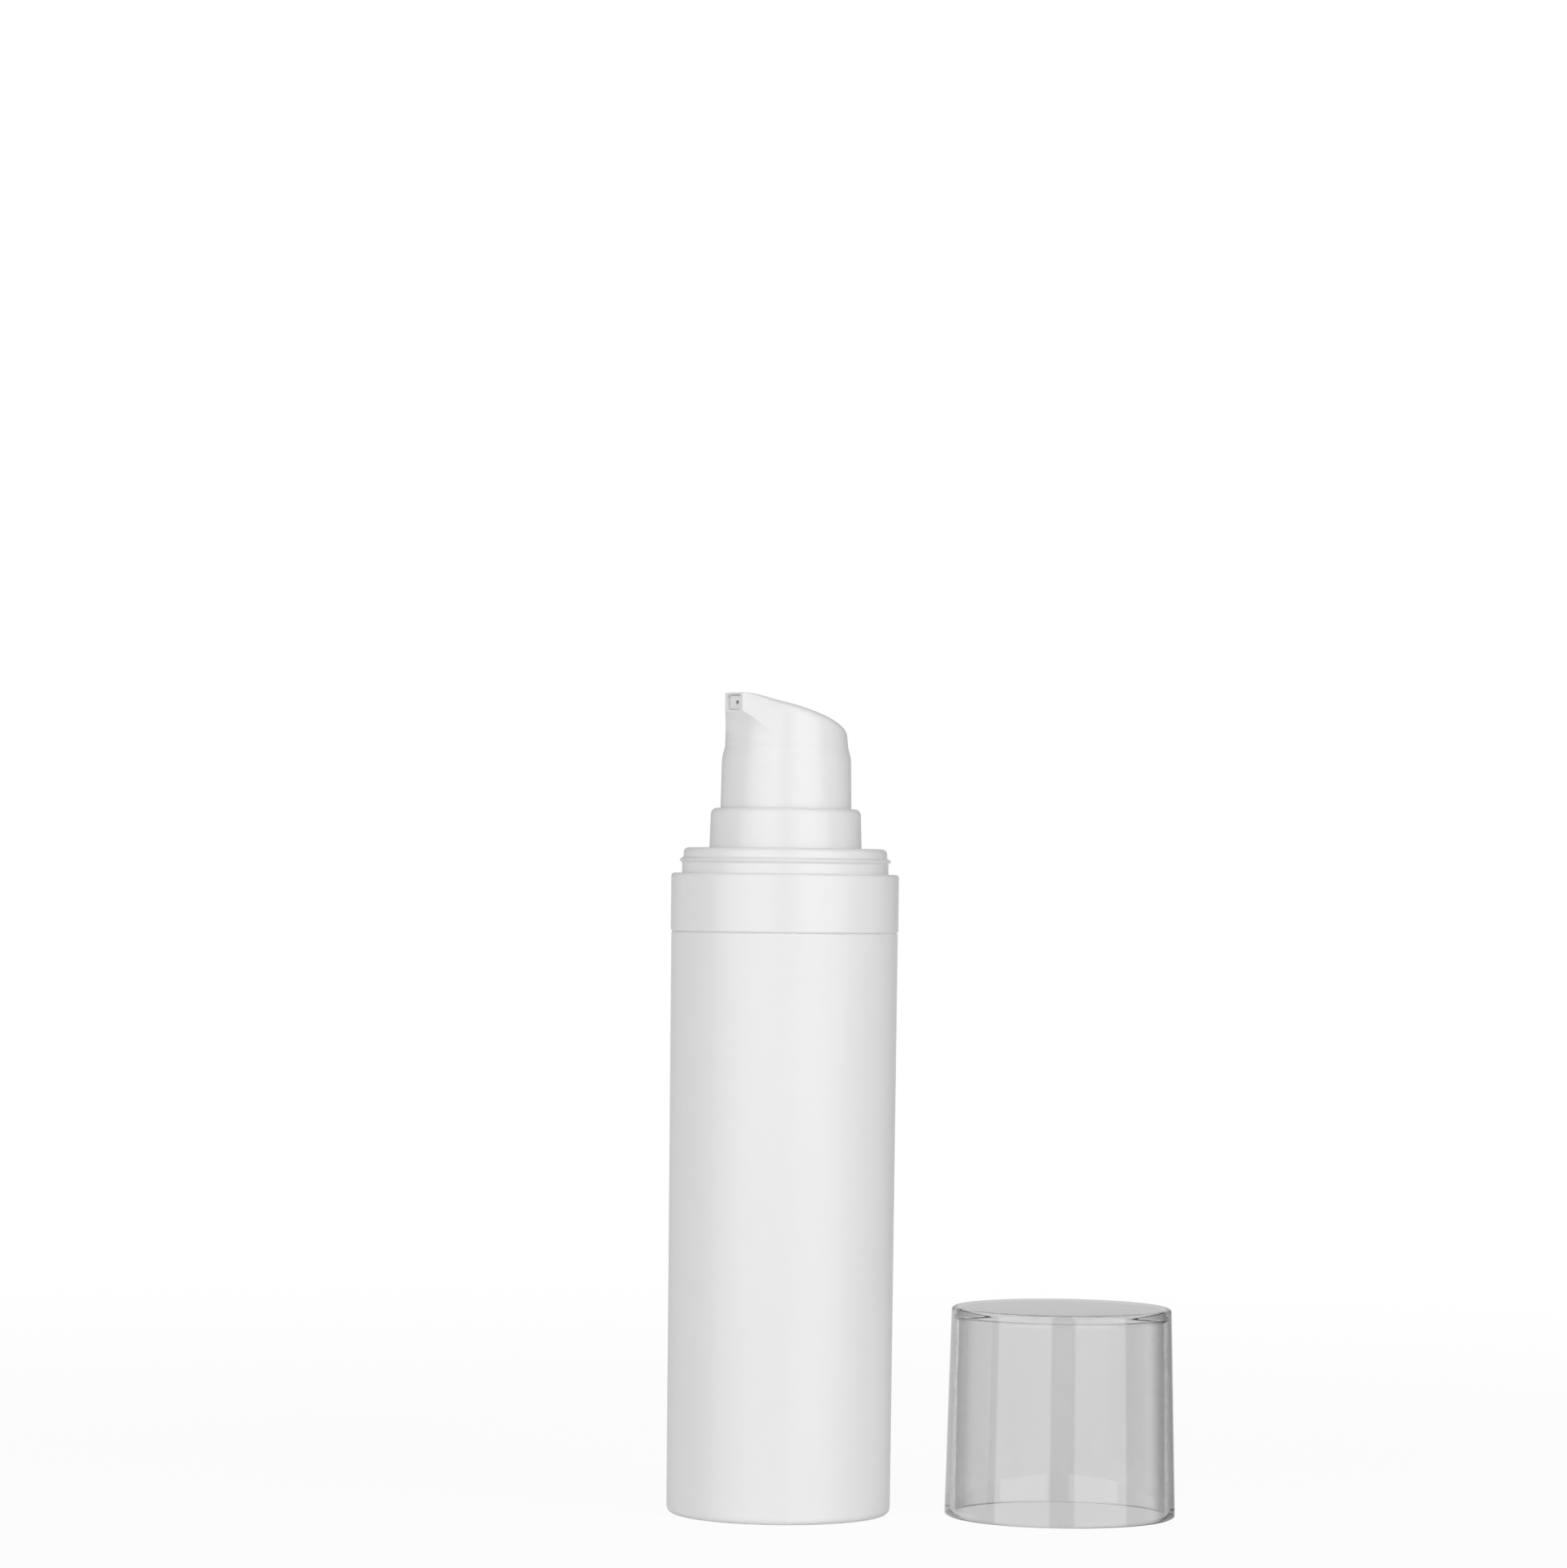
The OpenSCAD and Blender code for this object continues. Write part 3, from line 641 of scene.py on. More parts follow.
@dataclass
class Pump:
    """The pump inside the closure, with its return spring round the stem."""

    travel: float
    small_sides: int = 96
    coil_r: float = 4.6
    wire_r: float = 0.4
    coil_turns: float = 5.5
    rings_a_turn: int = 36
    wire_sides: int = 14

    def build(self) -> None:
        """Builds the turned pieces and the spring, and dresses the nodes whose shape is right."""
        for node, name, body, finish, corner in (
            ("housing_gasket", "gasket_ring", "bottle", Finish.GASKET, 0.08),
            ("stem_seal", "sliding_seal", "seal", Finish.SEAL, 0.06),
            ("upper_stem", "stem_tube", "stem", Finish.INNER, 0.08),
            ("stem_guide", "stem_guide_lid", "bottle", Finish.INNER, 0.08),
        ):
            TurnedPiece(node, name, body, finish, corner, self.small_sides).build()
        for node, finish in (("pump_housing", Finish.INNER), ("piston_rod", Finish.INNER),
                             ("check_ball", Finish.BALL)):
            materials = bpy.data.objects[node].data.materials
            materials.clear()
            materials.append(finish.material())
            log.info("%s: kept from the frame", node)
        self.spring()

    def spring(self) -> None:
        """Builds the return spring.

        The wire's centre is (R cos a, R sin a, z0 + rise * a). Round it, a ring of the wire's
        radius stands square to the helix. The first and last rings shrink to a point, so both ends
        are closed.
        """
        low, high = (corner.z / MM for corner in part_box("return_spring"))
        rise = high - low - 2 * self.wire_r
        count = int(self.coil_turns * self.rings_a_turn) + 1
        share = np.concatenate([[0.0], np.linspace(0.0, 1.0, count), [1.0]])
        size = np.concatenate([[0.0], np.full(count, self.wire_r), [0.0]])[:, None]
        angle = share * self.coil_turns * 2 * np.pi
        radial = np.stack([np.cos(angle), np.sin(angle), np.zeros_like(angle)], -1)
        pitch = math.atan2(rise, self.coil_turns * 2 * np.pi * self.coil_r)
        side = np.stack([np.sin(angle) * math.sin(pitch), -np.cos(angle) * math.sin(pitch),
                         np.full_like(angle, math.cos(pitch))], -1)
        climb = (low + self.wire_r + rise * share)[:, None]
        centre = radial * self.coil_r + np.array([0.0, 0.0, 1.0]) * climb
        ring = np.linspace(0.0, 2 * np.pi, self.wire_sides, endpoint=False)
        points = (centre[:, None] + (size * np.cos(ring))[..., None] * radial[:, None]
                  + (size * np.sin(ring))[..., None] * side[:, None]).reshape(-1, 3)
        faces = grid_faces(grid_numbers(len(share), self.wire_sides, True))
        spring = new_piece("spring_coil", "bottle", Finish.SPRING, "return_spring", points, faces)
        1 - self.travel / (high - low)
        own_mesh(spring)


@dataclass
class Actuator:
    """The push button: a skirt, a shoulder and a slanted head that runs out into a beak-like spout.

    The nozzle points along the local +X direction, which stands at the heading. Radii and heights
    are in millimetres, and angles in degrees. The head's skin is a grid: its columns stand at
    polar angles round the axis, and its rows run from the passage inside, down the boss, round the
    skirt, up the outside and in over the top.
    """

    heading: float = 221.0
    slope: float = 18.5
    skirt_r: float = 9.55
    skirt_wall: float = 1.2
    step_r: float = 9.42
    step_round: float = 0.35
    step_hold: float = 0.1
    head_r: float = 9.0
    head_wall: float = 1.3
    rim_r: float = 8.72
    z_bottom: float = 98.4
    z_turret: float = 102.4
    z_step: float = 109.7
    z_head: float = 111.3
    z_top: float = 116.1
    z_flat: float = 119.06
    z_boss: float = 104.8
    z_socket: float = 109.83
    z_passage: float = 113.75
    socket_r: float = 3.28
    boss_r: float = 5.4
    passage_r: float = 1.4
    bore_bevel: float = 0.3
    boss_bevel: float = 0.15
    skirt_bevel: float = 0.2
    channel_r: float = 0.5
    channel_bevel: float = 0.05
    channel_depth: float = 0.8
    ceiling: float = 1.8
    rim_round: float = 1.4
    rim_fade: float = 0.6
    nozzle_round: float = 0.22
    reach: float = 10.2
    nozzle_w: float = 3.9
    nozzle_h: float = 2.9
    plan_round: float = 0.3
    curve_r: float = 5.0
    curve_share: float = 0.98
    ridge_round: float = 0.13
    ridge_share: float = 0.7
    ridge_gap: float = 0.3
    dish_r: float = 16.0
    dish_depth: float = 0.5
    dish_back: float = 1.0
    dish_blend: float = 0.12
    crest_blend: float = 0.3
    mouth_w: float = 3.2
    mouth_h: float = 2.2
    mouth_round: float = 0.5
    mouth_depth: float = 0.6
    lip_round: float = 0.05
    insert_t: float = 0.8
    insert_fit: float = 0.05
    insert_edge: float = 0.07
    orifice_r: float = 0.3
    front_half: int = 8
    corner_points: int = 6
    flank_points: int = 14
    back_points: int = 56
    step_points: int = 6
    under_rows: int = 13
    ridge_rows: int = 5
    face_rows: int = 11
    rim_rows: int = 9
    top_rows: int = 25
    insert_points: int = 12

    @property
    def lean(self) -> float:
        """The slant of the head's top, in radians."""
        return math.radians(self.slope)

    @property
    def z_mouth(self) -> float:
        """Height of the mouth's middle."""
        return self.z_flat - self.nozzle_h / 2

    def half_plan(self) -> Array:
        """Draws the head's plan from the nozzle's middle to the back.

        It runs along the flat front, round the nozzle's corner, along the flank, which is tangent
        to the drum, and then round the drum.

        Returns:
            (n, 2) points.
        """
        half = self.nozzle_w / 2
        corner = np.array([self.reach, half])
        bearing = math.atan2(half, self.reach) + math.acos(self.rim_r / math.hypot(self.reach, half))
        touch = self.rim_r * np.array([math.cos(bearing), math.sin(bearing)])
        flank = (touch - corner) / np.linalg.norm(touch - corner)
        cut = self.plan_round * math.tan(math.acos(float(flank[1])) / 2)
        bend = arc_points(corner, np.array([0.0, 1.0]), flank, np.array(cut), self.corner_points)
        front = np.linspace([self.reach, 0.0], bend[0], self.front_half)[:-1]
        side = np.linspace(bend[-1], touch, self.flank_points)[1:]
        angle = np.linspace(bearing, np.pi, self.back_points)[1:]
        back = self.rim_r * np.stack([np.cos(angle), np.sin(angle)], -1)
        return np.concatenate([front, bend, side, back])

    def columns(self) -> tuple[Array, Array, Array]:
        """Lists the grid's columns, from the back over the nozzle to the back again.

        Returns:
            The polar angles, the plan radii and the share of the way along the flank, each (n,).
        """
        half = self.half_plan()
        flank_start = self.front_half - 1 + self.corner_points - 1
        share = np.clip((np.arange(len(half)) - flank_start) / (self.flank_points - 1), 0.0, 1.0)
        angle, radius = np.arctan2(half[:, 1], half[:, 0]), np.hypot(half[:, 0], half[:, 1])
        return (np.concatenate([-angle[:0:-1], angle[:-1]]),
                np.concatenate([radius[:0:-1], radius[:-1]]),
                np.concatenate([share[:0:-1], share[:-1]]))

    def top_height(self, radius: Array, angle: Array) -> Array:
        """Works out the height of the head's top.

        A plane rises towards the nozzle, less a finger dish, which is a shallow piece of a sphere.
        The lower of that and the spout's flat top is taken with a soft minimum,
        (a + b - sqrt((a - b)^2 + k^2)) / 2.

        Args:
            radius: distances from the axis.
            angle: polar angles.

        Returns:
            The heights, in the same shape.
        """
        x, y = radius * np.cos(angle), radius * np.sin(angle)
        along = x / math.cos(self.lean) + self.dish_back
        far = np.sqrt(np.clip(self.dish_r ** 2 - along ** 2 - y ** 2, 1.0, None))
        dip = self.dish_r - self.dish_depth - far
        dip = (dip - np.sqrt(dip ** 2 + self.dish_blend ** 2)) / 2
        plane = self.z_top + math.tan(self.lean) * x + dip / math.cos(self.lean)
        gap = plane - self.z_flat
        return (plane + self.z_flat - np.sqrt(gap ** 2 + self.crest_blend ** 2)) / 2

    def inside_rows(self, angle: Array) -> Array:
        """Works out the rows from the passage's closed end to the skirt's lower edge.

        Args:
            angle: the columns' polar angles.

        Returns:
            (rows, columns, 2) radii and heights.
        """
        count = len(angle)
        thick = self.ceiling / math.cos(self.lean)

        def ring(radius: float, height: float) -> Array:
            """One row at the same radius and height all round."""
            return np.tile([radius, height], (count, 1))

        def under_top(radius: float) -> Array:
            """One row on the slanted ceiling."""
            height = self.z_top + math.tan(self.lean) * radius * np.cos(angle) - thick
            return np.stack([np.full(count, radius), height], -1)

        bore, boss, skirt = self.bore_bevel, self.boss_bevel, self.skirt_bevel
        skirt_in, head_in = self.skirt_r - self.skirt_wall, self.head_r - self.head_wall
        return np.stack([
            ring(0.0, self.z_passage), ring(self.passage_r - bore, self.z_passage),
            ring(self.passage_r, self.z_passage - bore), ring(self.passage_r, self.z_socket),
            ring(self.socket_r, self.z_socket), ring(self.socket_r, self.z_boss + bore),
            ring(self.socket_r + bore, self.z_boss), ring(self.boss_r - boss, self.z_boss),
            ring(self.boss_r, self.z_boss + boss), under_top(self.boss_r), under_top(head_in),
            ring(head_in, self.z_head), ring(skirt_in, self.z_step), ring(skirt_in, self.z_bottom + skirt),
            ring(skirt_in + skirt, self.z_bottom)])

    def outside_rows(self, count: int) -> Array:
        """Works out the rows up the skirt and the shoulder, whose four corners are rounded.

        The outline is closed over the wall's inside, which only gives the end corners their sides.

        Args:
            count: the number of columns.

        Returns:
            (rows, columns, 2) radii and heights.
        """
        lead_in, lead_h = 0.03, 0.4
        skirt_in, z_lead = self.skirt_r - self.skirt_wall, self.z_head + lead_h
        wall = np.array([[self.skirt_r, self.z_bottom], [self.skirt_r, self.z_turret],
                         [self.step_r, self.z_step], [self.head_r, self.z_head],
                         [self.head_r - lead_in, z_lead], [skirt_in, z_lead], [skirt_in, self.z_bottom]])
        bends = soften(wall, self.step_round, self.step_points, self.step_hold)
        return np.repeat(bends[:4 * (self.step_points + 2), None], count, 1)

    def rim_arcs(self, angle: Array, plan: Array, share: Array) -> tuple[Array, Array, Array]:
        """Rounds the rim where the wall meets the top, less and less towards the nozzle.

        Args:
            angle: the columns' polar angles.
            plan: their plan radii.
            share: their share of the way along the flank.

        Returns:
            The arcs, (columns, rim_rows, 2), the wall's unit directions and the unrounded heights.
        """
        probe = 0.6
        rounding = self.nozzle_round + (self.rim_round - self.nozzle_round) * share ** self.rim_fade
        z_rim = self.top_height(plan, angle)
        slope_in = (z_rim - self.top_height(plan - probe, angle)) / probe
        up = np.stack([(self.rim_r - self.head_r) * share, z_rim - self.z_head], -1)
        up /= np.linalg.norm(up, axis=1)[:, None]
        inward = np.stack([-np.ones(len(angle)), -slope_in], -1)
        inward /= np.linalg.norm(inward, axis=1)[:, None]
        cut = rounding * np.tan(np.arccos((up * inward).sum(1)) / 2)
        return arc_points(np.stack([plan, z_rim], -1), up, inward, cut, self.rim_rows), up, z_rim

    def under_spout(self, plan: Array, share: Array, z_rim: Array, z_most: Array) -> Array:
        """Works out the rows up the drum and out under the spout.

        The drum leans in a little towards its rim. Under the spout, the wall leaves the drum along
        r = drum + c - sqrt(c^2 - (z - z0)^2), a hollow curve of radius c, up to the ridge where it
        meets the plan's own radius. The ridge's height is found in a few rounds.

        Args:
            plan: the columns' plan radii.
            share: their share of the way along the flank.
            z_rim: the rim's unrounded heights.
            z_most: the ridge's greatest heights.

        Returns:
            (under_rows, columns, 2) radii and heights.
        """
        draft, rounds, drum_lead = self.head_r - self.rim_r, 6, 0.2

        def beyond(height: Array) -> Array:
            """How far the beak stands out of the drum."""
            left = (z_rim - height) / (z_rim - self.z_head)
            return (plan - self.rim_r - draft * (1.0 - share) * left).clip(0.0)

        def lift(out: Array) -> Array:
            """Rise of the hollow curve where it has come out by so much."""
            return np.sqrt(self.curve_r ** 2 - (self.curve_r - out) ** 2)

        z_ridge = np.full(len(plan), self.z_flat - self.nozzle_h)
        middle = len(plan) // 2
        z_curve = z_ridge[middle] - lift(beyond(z_ridge))[middle]
        for _ in range(rounds):
            z_ridge = z_curve + lift(beyond(z_ridge))
        z_ridge = np.minimum(z_ridge, z_most)
        z_low = self.z_head + drum_lead
        height = z_low + (z_ridge - z_low) * np.linspace(0.0, 1.0, self.under_rows)[:, None]
        rise = np.clip(height - z_curve, 0.0, self.curve_share * self.curve_r)
        hollow = self.curve_r - np.sqrt(self.curve_r ** 2 - rise ** 2)
        drum = self.head_r - draft * (height - self.z_head) / (z_rim - self.z_head)
        return np.stack([drum + np.minimum(beyond(height), hollow), height], -1)

    def rows(self, angle: Array, plan: Array, share: Array) -> tuple[Array, int, int]:
        """Works out the profile at each column, from inside the passage to the middle of the top.

        Args:
            angle: the columns' polar angles.
            plan: their plan radii.
            share: their share of the way along the flank.

        Returns:
            (rows, columns, 2) radii and heights, and the first and last row of the nozzle's face.
        """
        inside, outside = self.inside_rows(angle), self.outside_rows(len(angle))
        rim, up, z_rim = self.rim_arcs(angle, plan, share)
        under = self.under_spout(plan, share, z_rim, rim[:, 0, 1] - self.ridge_gap)
        lead = under[-1] - under[-2]
        spacing = np.linalg.norm(lead, axis=1)
        cut = np.minimum(self.ridge_round, self.ridge_share * spacing)
        ridge = arc_points(under[-1], lead / spacing[:, None], up, cut, self.ridge_rows)
        t = np.linspace(0.0, 1.0, self.face_rows)[:, None, None]
        face = ridge[:, -1] + (rim[:, 0] - ridge[:, -1]) * t
        closing_in = 1.0 - np.linspace(0.0, 1.0, self.top_rows + 1)[1:] ** 0.9
        top_r = rim[:, -1, 0] * closing_in[:, None]
        top = np.stack([top_r, self.top_height(top_r, angle)], -1)
        below = np.concatenate([inside, outside, under[:-1], np.moveaxis(ridge, 1, 0)])
        every = np.concatenate([below, face[1:-1], np.moveaxis(rim, 1, 0), top])
        return every, len(below) - 1, len(below) + self.face_rows - 2

    def mouth_outline(self, loop: Array, width: float, height: float, round_r: float) -> Array:
        """Places points of a square loop on a rounded rectangle.

        Args:
            loop: (n, 2) points on the edge of the square from -1 to 1.
            width: the rectangle's width.
            height: its height.
            round_r: the radius of its corners.

        Returns:
            (n, 2) points. Each lies round_r from the nearest place of the rectangle's inner core.
        """
        sharp = loop * [width / 2, height / 2]
        core = np.clip(sharp, [-(width / 2 - round_r), -(height / 2 - round_r)],
                       [width / 2 - round_r, height / 2 - round_r])
        away = sharp - core
        return core + round_r * away / np.linalg.norm(away, axis=1)[:, None]

    def upright(self, x: float, outline: Array) -> Array:
        """Stands a flat outline, (n, 2), in the plane at x, round the mouth's middle."""
        return np.column_stack([np.full(len(outline), x), outline[:, 0], outline[:, 1] + self.z_mouth])

    def placed(self, local: Array) -> Array:
        """Turns points from the nozzle's own X axis to its heading.

        Args:
            local: points, shape (..., 3).

        Returns:
            The turned points, in the same shape.
        """
        a = math.radians(self.heading)
        x, y, z = local[..., 0], local[..., 1], local[..., 2]
        return np.stack([x * math.cos(a) - y * math.sin(a), x * math.sin(a) + y * math.cos(a), z], -1)

    def mouth_loops(self, square: Array) -> Array:
        """Works out the loops from the mouth's lip down its recess and into the channel.

        Args:
            square: (n, 2) points on the edge of the square from -1 to 1.

        Returns:
            (loops, n, 3) points. The last loop is one point.
        """
        f, full = self.lip_round, self.mouth_depth + self.insert_t
        r, deep = self.channel_r, full + self.channel_depth
        bevel = self.channel_bevel
        loops = []
        for depth, grow in ((0.0, 1.6 * f), (0.0, f), (0.3 * f, 0.3 * f), (f, 0.0),
                            (self.mouth_depth / 2, 0.0), (full - f, 0.0), (full, -f)):
            ring = self.mouth_outline(square, self.mouth_w + 2 * grow, self.mouth_h + 2 * grow,
                                      self.mouth_round + grow)
            loops.append(self.upright(self.reach - depth, ring))
        circle = on_circle(square)
        for depth, size in ((full, r + bevel), (full + 1.6 * bevel, r), (deep, r), (deep + bevel, 0.0)):
            loops.append(self.upright(self.reach - depth, size * circle))
        return np.stack(loops)

    def button(self) -> None:
        """Builds the button as one closed skin, with the mouth let into the nozzle's face."""
        angle, plan, share = self.columns()
        profile, first, last = self.rows(angle, plan, share)
        rows, count = profile.shape[:2]
        radius, height = profile[..., 0], profile[..., 1]
        skin = np.stack([radius * np.cos(angle), radius * np.sin(angle), height], -1).reshape(-1, 3)
        index = grid_numbers(rows, count, True)
        left, right = count // 2 - (self.front_half - 1), count // 2 + (self.front_half - 1)
        quads = grid_faces(index).reshape(rows - 1, count, 4)
        keep = np.ones(quads.shape[:2], bool)
        keep[first:last, left:right] = False
        border = np.concatenate([index[first, left:right], index[first:last, right],
                                 index[last, right:left:-1], index[last:first:-1, left]])
        edge = skin[border][:, 1:]
        low, high = edge.min(0), edge.max(0)
        square = (edge - (low + high) / 2) / ((high - low) / 2)
        square /= np.abs(square).max(1)[:, None]
        loops = self.mouth_loops(square)
        around = len(skin) + grid_numbers(len(loops), len(border), False)
        around[-1] = around[-1, 0]
        patch = grid_faces(np.concatenate([border[None], around]))
        points = self.placed(np.concatenate([skin, loops.reshape(-1, 3)]))
        faces = np.concatenate([quads[keep], patch])
        new_piece("push_button", "head", Finish.SHELL, "actuator", points, faces)

    def insert(self) -> None:
        """Builds the insert: rings that run from its edge in over the front and out at the back."""
        side = np.linspace(-1.0, 1.0, self.insert_points + 1)[:-1]
        one = np.ones_like(side)
        square = np.concatenate([np.column_stack([side, -one]), np.column_stack([one, side]),
                                 np.column_stack([-side, one]), np.column_stack([-one, -side])])
        circle = on_circle(square)
        front = self.reach - self.mouth_depth
        back, edge, bore = front - self.insert_t, self.insert_edge, self.orifice_r

        def body(grow: float) -> Array:
            """The insert's own outline, grown by so much."""
            more = grow - self.insert_fit
            return self.mouth_outline(square, self.mouth_w + 2 * more, self.mouth_h + 2 * more,
                                      self.mouth_round + more)

        rings = [(front - edge, body(0.0)), (front - 0.3 * edge, body(-0.3 * edge)), (front, body(-edge)),
                 (front, (bore + 2 * edge) * circle), (front, (bore + edge) * circle),
                 (front - 0.3 * edge, (bore + 0.3 * edge) * circle), (front - edge, bore * circle),
                 (back, bore * circle), (back, body(0.0))]
        points = np.concatenate([self.upright(x, outline) for x, outline in rings])
        faces = grid_faces(grid_numbers(len(rings), len(square), False), True)
        new_piece("spout_insert", "head", Finish.SHELL, "nozzle_insert", self.placed(points), faces)

    def build(self) -> None:
        """Builds the button and its insert."""
        self.button()
        self.insert()


@dataclass
class Cap:
    """The clear cap, mouth down beside the bottle."""

    corner: float = 0.16
    sides: int = 200

    def build(self) -> None:
        """Builds the cap round the middle of its own node. Light passes it, so it shades nothing."""
        x, y = middle_of("cap")
        cap = TurnedPiece("cap", "clear_cap", "cap_body", Finish.CAP, self.corner, self.sides,
                          (x / MM, y / MM)).build()
        cap.visible_shadow = cap.visible_diffuse = False


# Studio

@dataclass
class View:
    """The photograph's camera, from what was measured in its 1931 by 1932 frame."""

    width_px: float = 1931.0
    middle_row: float = 966.0
    horizon_row: float = 1075.5
    focal_px: float = 6590.0
    sensor: float = 36.0
    distance: float = 0.78
    eye_height: float = 0.093
    eye_x: float = -0.0004
    roll: float = 0.65
    sight: float = 20.0

    def build(self) -> None:
        """Sets up the camera, level but for the tilt that the horizon's row gives."""
        data = bpy.data.cameras.new("photo_camera")
        data.sensor_width = self.sensor
        data.lens = self.sensor * self.focal_px / self.width_px
        data.clip_end = self.sight
        camera = linked("photo_camera", data)
        pitch = math.atan((self.horizon_row - self.middle_row) / self.focal_px)
        camera.matrix_world = (Matrix.Translation((self.eye_x, -self.distance, self.eye_height))
                               @ Matrix.Rotation(math.pi / 2 + pitch, 4, "X")
                               @ Matrix.Rotation(math.radians(self.roll), 4, "Z"))
        bpy.context.scene.camera = camera


@dataclass(frozen=True)
class Softbox:
    """A large soft lamp that faces the object: its bearing from the viewer's side, in degrees."""

    name: str
    bearing: float
    width: float
    watts: float
    distance: float = 0.95
    height: float = 0.42
    tall: float = 0.84

    def build(self, aim: Sequence[float]) -> None:
        """Places the lamp and turns it to the aim.

        Args:
            aim: where the light points, seen from above.
        """
        data = bpy.data.lights.new(self.name, "AREA")
        data.shape, data.size, data.size_y = "RECTANGLE", self.width, self.tall
        data.energy = self.watts
        lamp = linked(self.name, data)
        a = math.radians(self.bearing)
        back, up = np.array([math.sin(a), -math.cos(a), 0.0]), np.array([0.0, 0.0, 1.0])
        basis = np.eye(4)
        basis[:3, :4] = np.column_stack([np.cross(up, back), up, back,
                                         np.array([*aim, self.height]) + self.distance * back])
        lamp.matrix_world = Matrix(basis.tolist())
        lamp.visible_camera = lamp.visible_glossy = lamp.visible_transmission = False


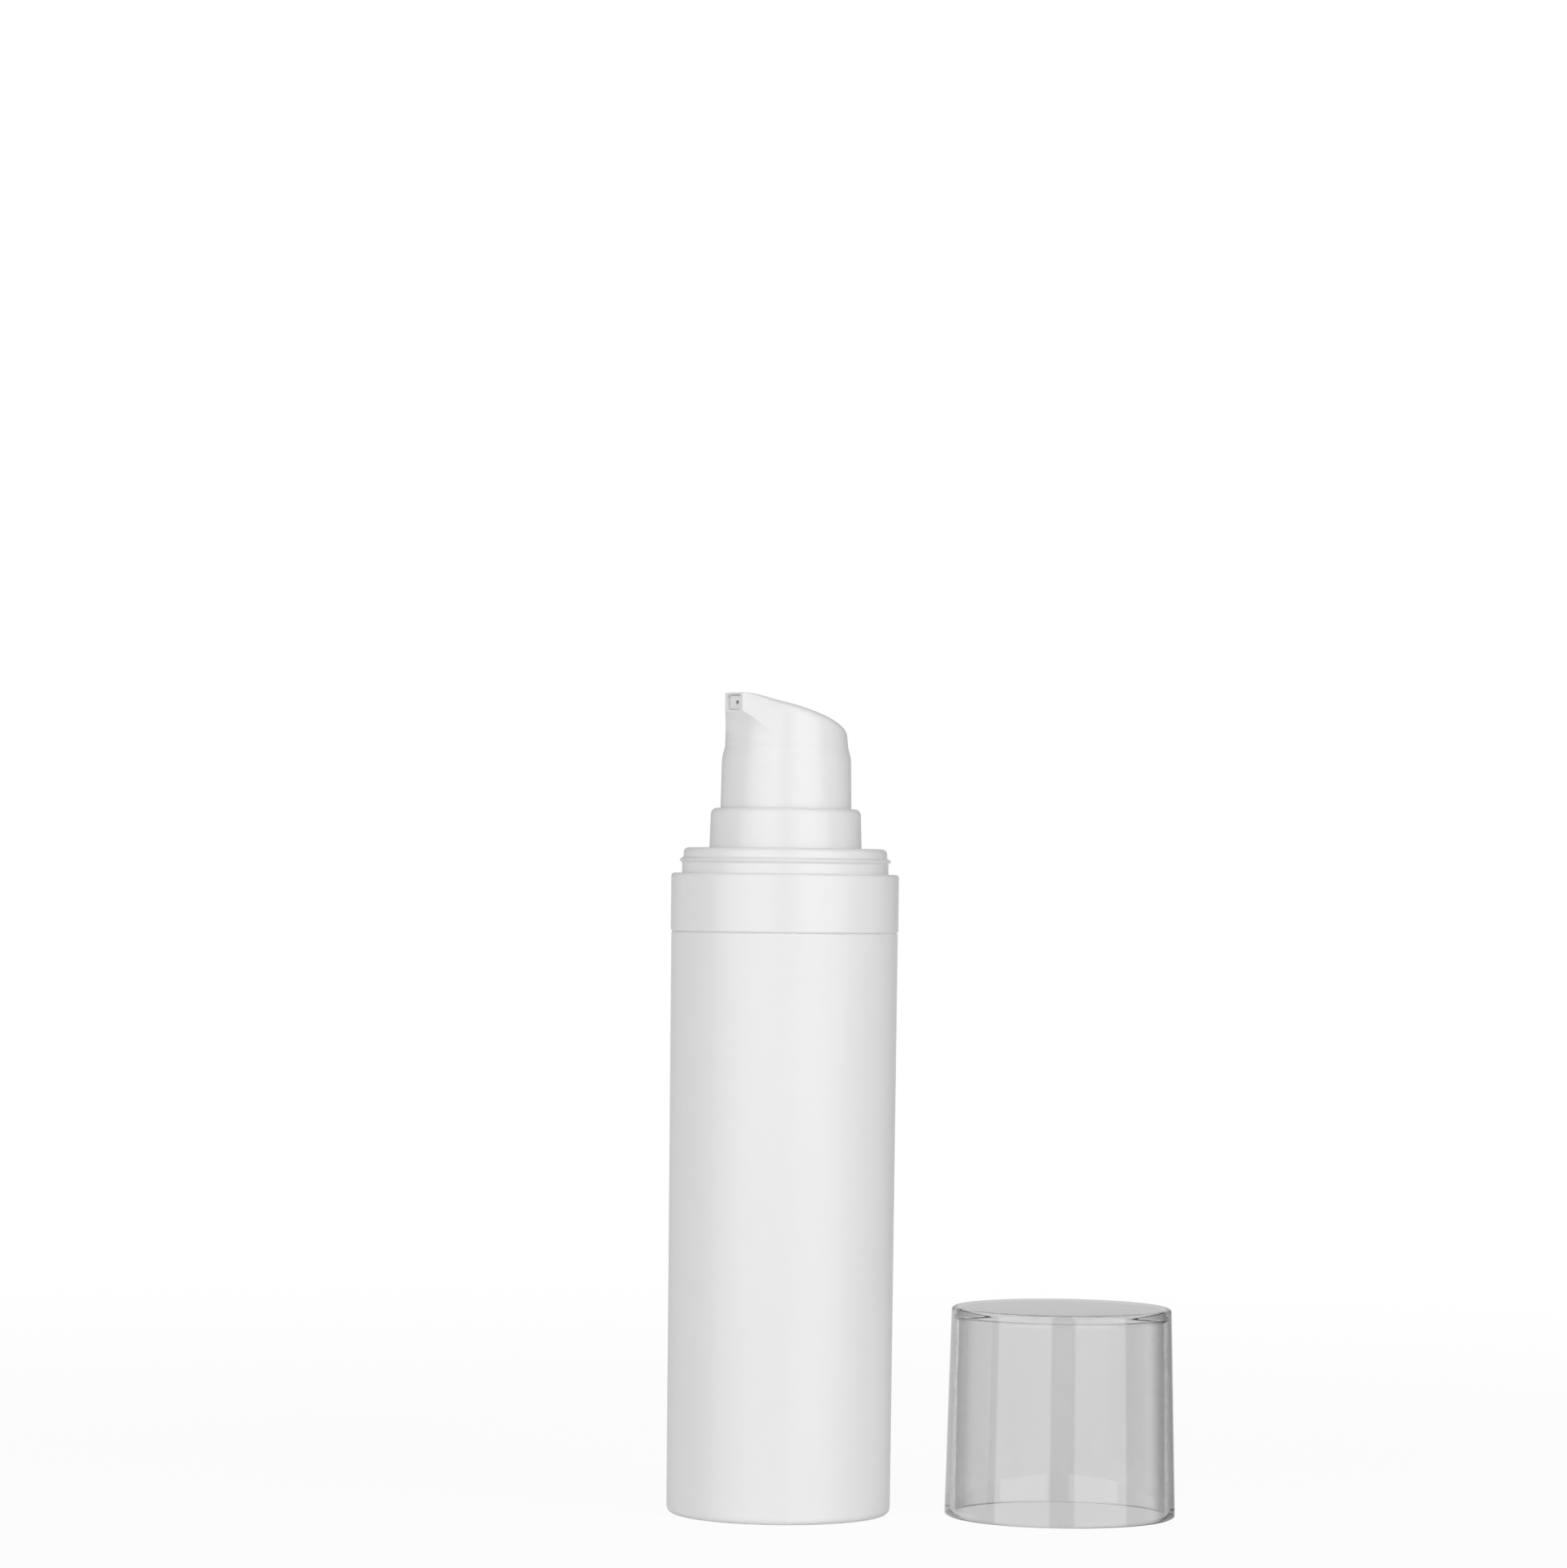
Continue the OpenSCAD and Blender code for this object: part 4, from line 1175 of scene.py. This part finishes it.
@dataclass
class Studio:
    """A pale floor, a white backdrop, soft light from both sides of the viewer and a little from behind.

    Bearings run from the viewer's side, in degrees, and grow to the right. A dim zone is its first
    and last bearing and the level of the backdrop in it.
    """

    aim: tuple[float, float] = (0.018, 0.0)
    floor_size: float = 3.0
    floor_shade: float = 0.9
    paper_size: float = 2.0 * MM
    paper_shade: float = 0.015
    floor_share: float = 0.08
    through_share: float = 0.1
    # Painted shadow of the cap on the floor: how far it reaches round the cap's axis, and how much it dims.
    painted_shadow_reach: tuple[float, float] = (0.0162, 0.017)
    cap_painted_shadow: float = 0.26
    shade_reach: tuple[float, float] = (0.1, 0.5)
    ambient: float = 0.38
    room: float = 0.4
    panel: float = 1.7
    left_panel: tuple[float, float] = (-71.0, -13.0)
    right_panel: tuple[float, float] = (11.5, 67.0)
    panel_edge: float = 4.0
    backdrop_top: float = 0.62
    backdrop_edge: tuple[float, float] = (85.0, 110.0)
    skyline: tuple[float, float] = (-0.02, 0.03)
    right_dim: tuple[float, float, float] = (106.0, 163.0, 0.1)
    left_dim: tuple[float, float, float] = (-172.0, -135.0, 0.6)
    dim_edge: float = 24.0

    def build(self) -> None:
        """Builds the floor, the lamps, the world and the camera."""
        bpy.context.scene.view_settings.view_transform = "Standard"
        self.floor()
        for box in (Softbox("left_softbox", -37.0, 0.78, 4.15), Softbox("right_softbox", 41.0, 0.72, 4.8),
                    Softbox("rear_softbox", 178.0, 0.7, 2.6)):
            box.build(self.aim)
        self.world()
        View().build()

    def floor(self) -> None:
        """Lays the floor: it looks white, takes the object's shadow and lets gloss see the studio.

        Seen through the clear cap, the floor inside the cap is darker: a painted shadow of the cap.
        """
        mesh, far = bpy.data.meshes.new("floor"), self.floor_size
        mesh.from_pydata([(-far, -far, 0), (far, -far, 0), (far, far, 0), (-far, far, 0)], [], [(0, 1, 2, 3)])
        material, graph = fresh_material("pale_floor")
        paper = graph.noise(self.paper_size)
        pale = (self.floor_shade,) * 3
        matt = graph.node("ShaderNodeBsdfDiffuse", None, {
            "Color": graph.tint(paper, shaded(pale, 1.0 - self.paper_shade), pale)})
        camera, gloss, through = graph.ray_kinds()
        away = graph.value("ShaderNodeVectorMath", "Value", {"operation": "LENGTH"}, {0: graph.place()})
        near = 1.0 - away.step(*self.shade_reach)
        from_cap = graph.node("ShaderNodeVectorMath", {"operation": "SUBTRACT"},
                              {0: graph.place(), 1: (*middle_of("cap"), 0.0)}).outputs[0]
        beside = graph.value("ShaderNodeVectorMath", "Value", {"operation": "LENGTH"}, {0: from_cap})
        # Painted shadow: for rays through the clear cap, the floor's glow is dimmed inside the cap's
        # footprint.
        glow = graph.node("ShaderNodeEmission", None, {
            "Color": (1.0, 1.0, 1.0, 1.0),
            "Strength": 1.0 - through * self.cap_painted_shadow * (1.0 - beside.step(*self.painted_shadow_reach))})
        white = camera * (1.0 - self.floor_share * near) + through * (1.0 - self.through_share * near)
        seen = graph.node("ShaderNodeMixShader", None, {0: white, 1: matt.outputs[0], 2: glow.outputs[0]})
        clear = graph.node("ShaderNodeBsdfTransparent")
        mixed = graph.node("ShaderNodeMixShader", None, {
            0: gloss * (1.0 - through), 1: seen.outputs[0], 2: clear.outputs[0]})
        graph.surface(mixed)
        mesh.materials.append(material)
        linked("floor", mesh)

    def world(self) -> None:
        """Makes the studio's surroundings.

        The viewer sees plain white. Gloss and clear plastic see the same white behind the object
        and below, a greyer wall above it, two tall panels of light in front and a grey room at the
        sides. Matt surfaces get an even ambient light.
        """
        world = bpy.data.worlds.new("studio")
        world.use_nodes = True
        world.cycles.sampling_method = "NONE"
        bpy.context.scene.world = world
        graph = Graph(world.node_tree)
        camera, gloss, through = graph.ray_kinds()
        side = graph.node("ShaderNodeSeparateXYZ", None,
                          {0: graph.node("ShaderNodeTexCoord").outputs["Generated"]})
        x, y, z = (Value(graph, side.outputs[axis]) for axis in "XYZ")
        bearing = x.angle_from(0.0 - y) * math.degrees(1.0)
        panels = (bearing.within(*self.left_panel, self.panel_edge)
                  + bearing.within(*self.right_panel, self.panel_edge))
        front = self.room + panels * (self.panel - self.room)
        below = 1.0 - z.step(*self.skyline)
        backdrop = self.backdrop_top + below * (1.0 - self.backdrop_top)
        for low, high, level in (self.right_dim, self.left_dim):
            backdrop = backdrop * (1.0 - bearing.within(low, high, self.dim_edge) * (1.0 - level))
        behind = bearing.larger(0.0 - bearing).step(*self.backdrop_edge)
        studio = front * (1.0 - behind) + backdrop * behind
        seen = gloss.larger(through)
        level = camera.larger(seen * studio + (1.0 - seen) * self.ambient)
        light = graph.node("ShaderNodeBackground", None, {"Color": (1.0, 1.0, 1.0, 1.0), "Strength": level})
        graph.node("ShaderNodeOutputWorld", None, {"Surface": light.outputs[0]})


def main() -> None:
    """Loads the frame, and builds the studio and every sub-assembly."""
    logging.basicConfig(level=logging.INFO, format="%(name)s: %(message)s")
    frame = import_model()
    Studio().build()
    travel = next(j["range_m"][1] for j in frame["joints"] if j["name"] == "actuator_press") / MM
    for assembly in (Bottle(), Pump(travel), Actuator(), Cap()):
        assembly.build()


if __name__ == "__main__":
    main()
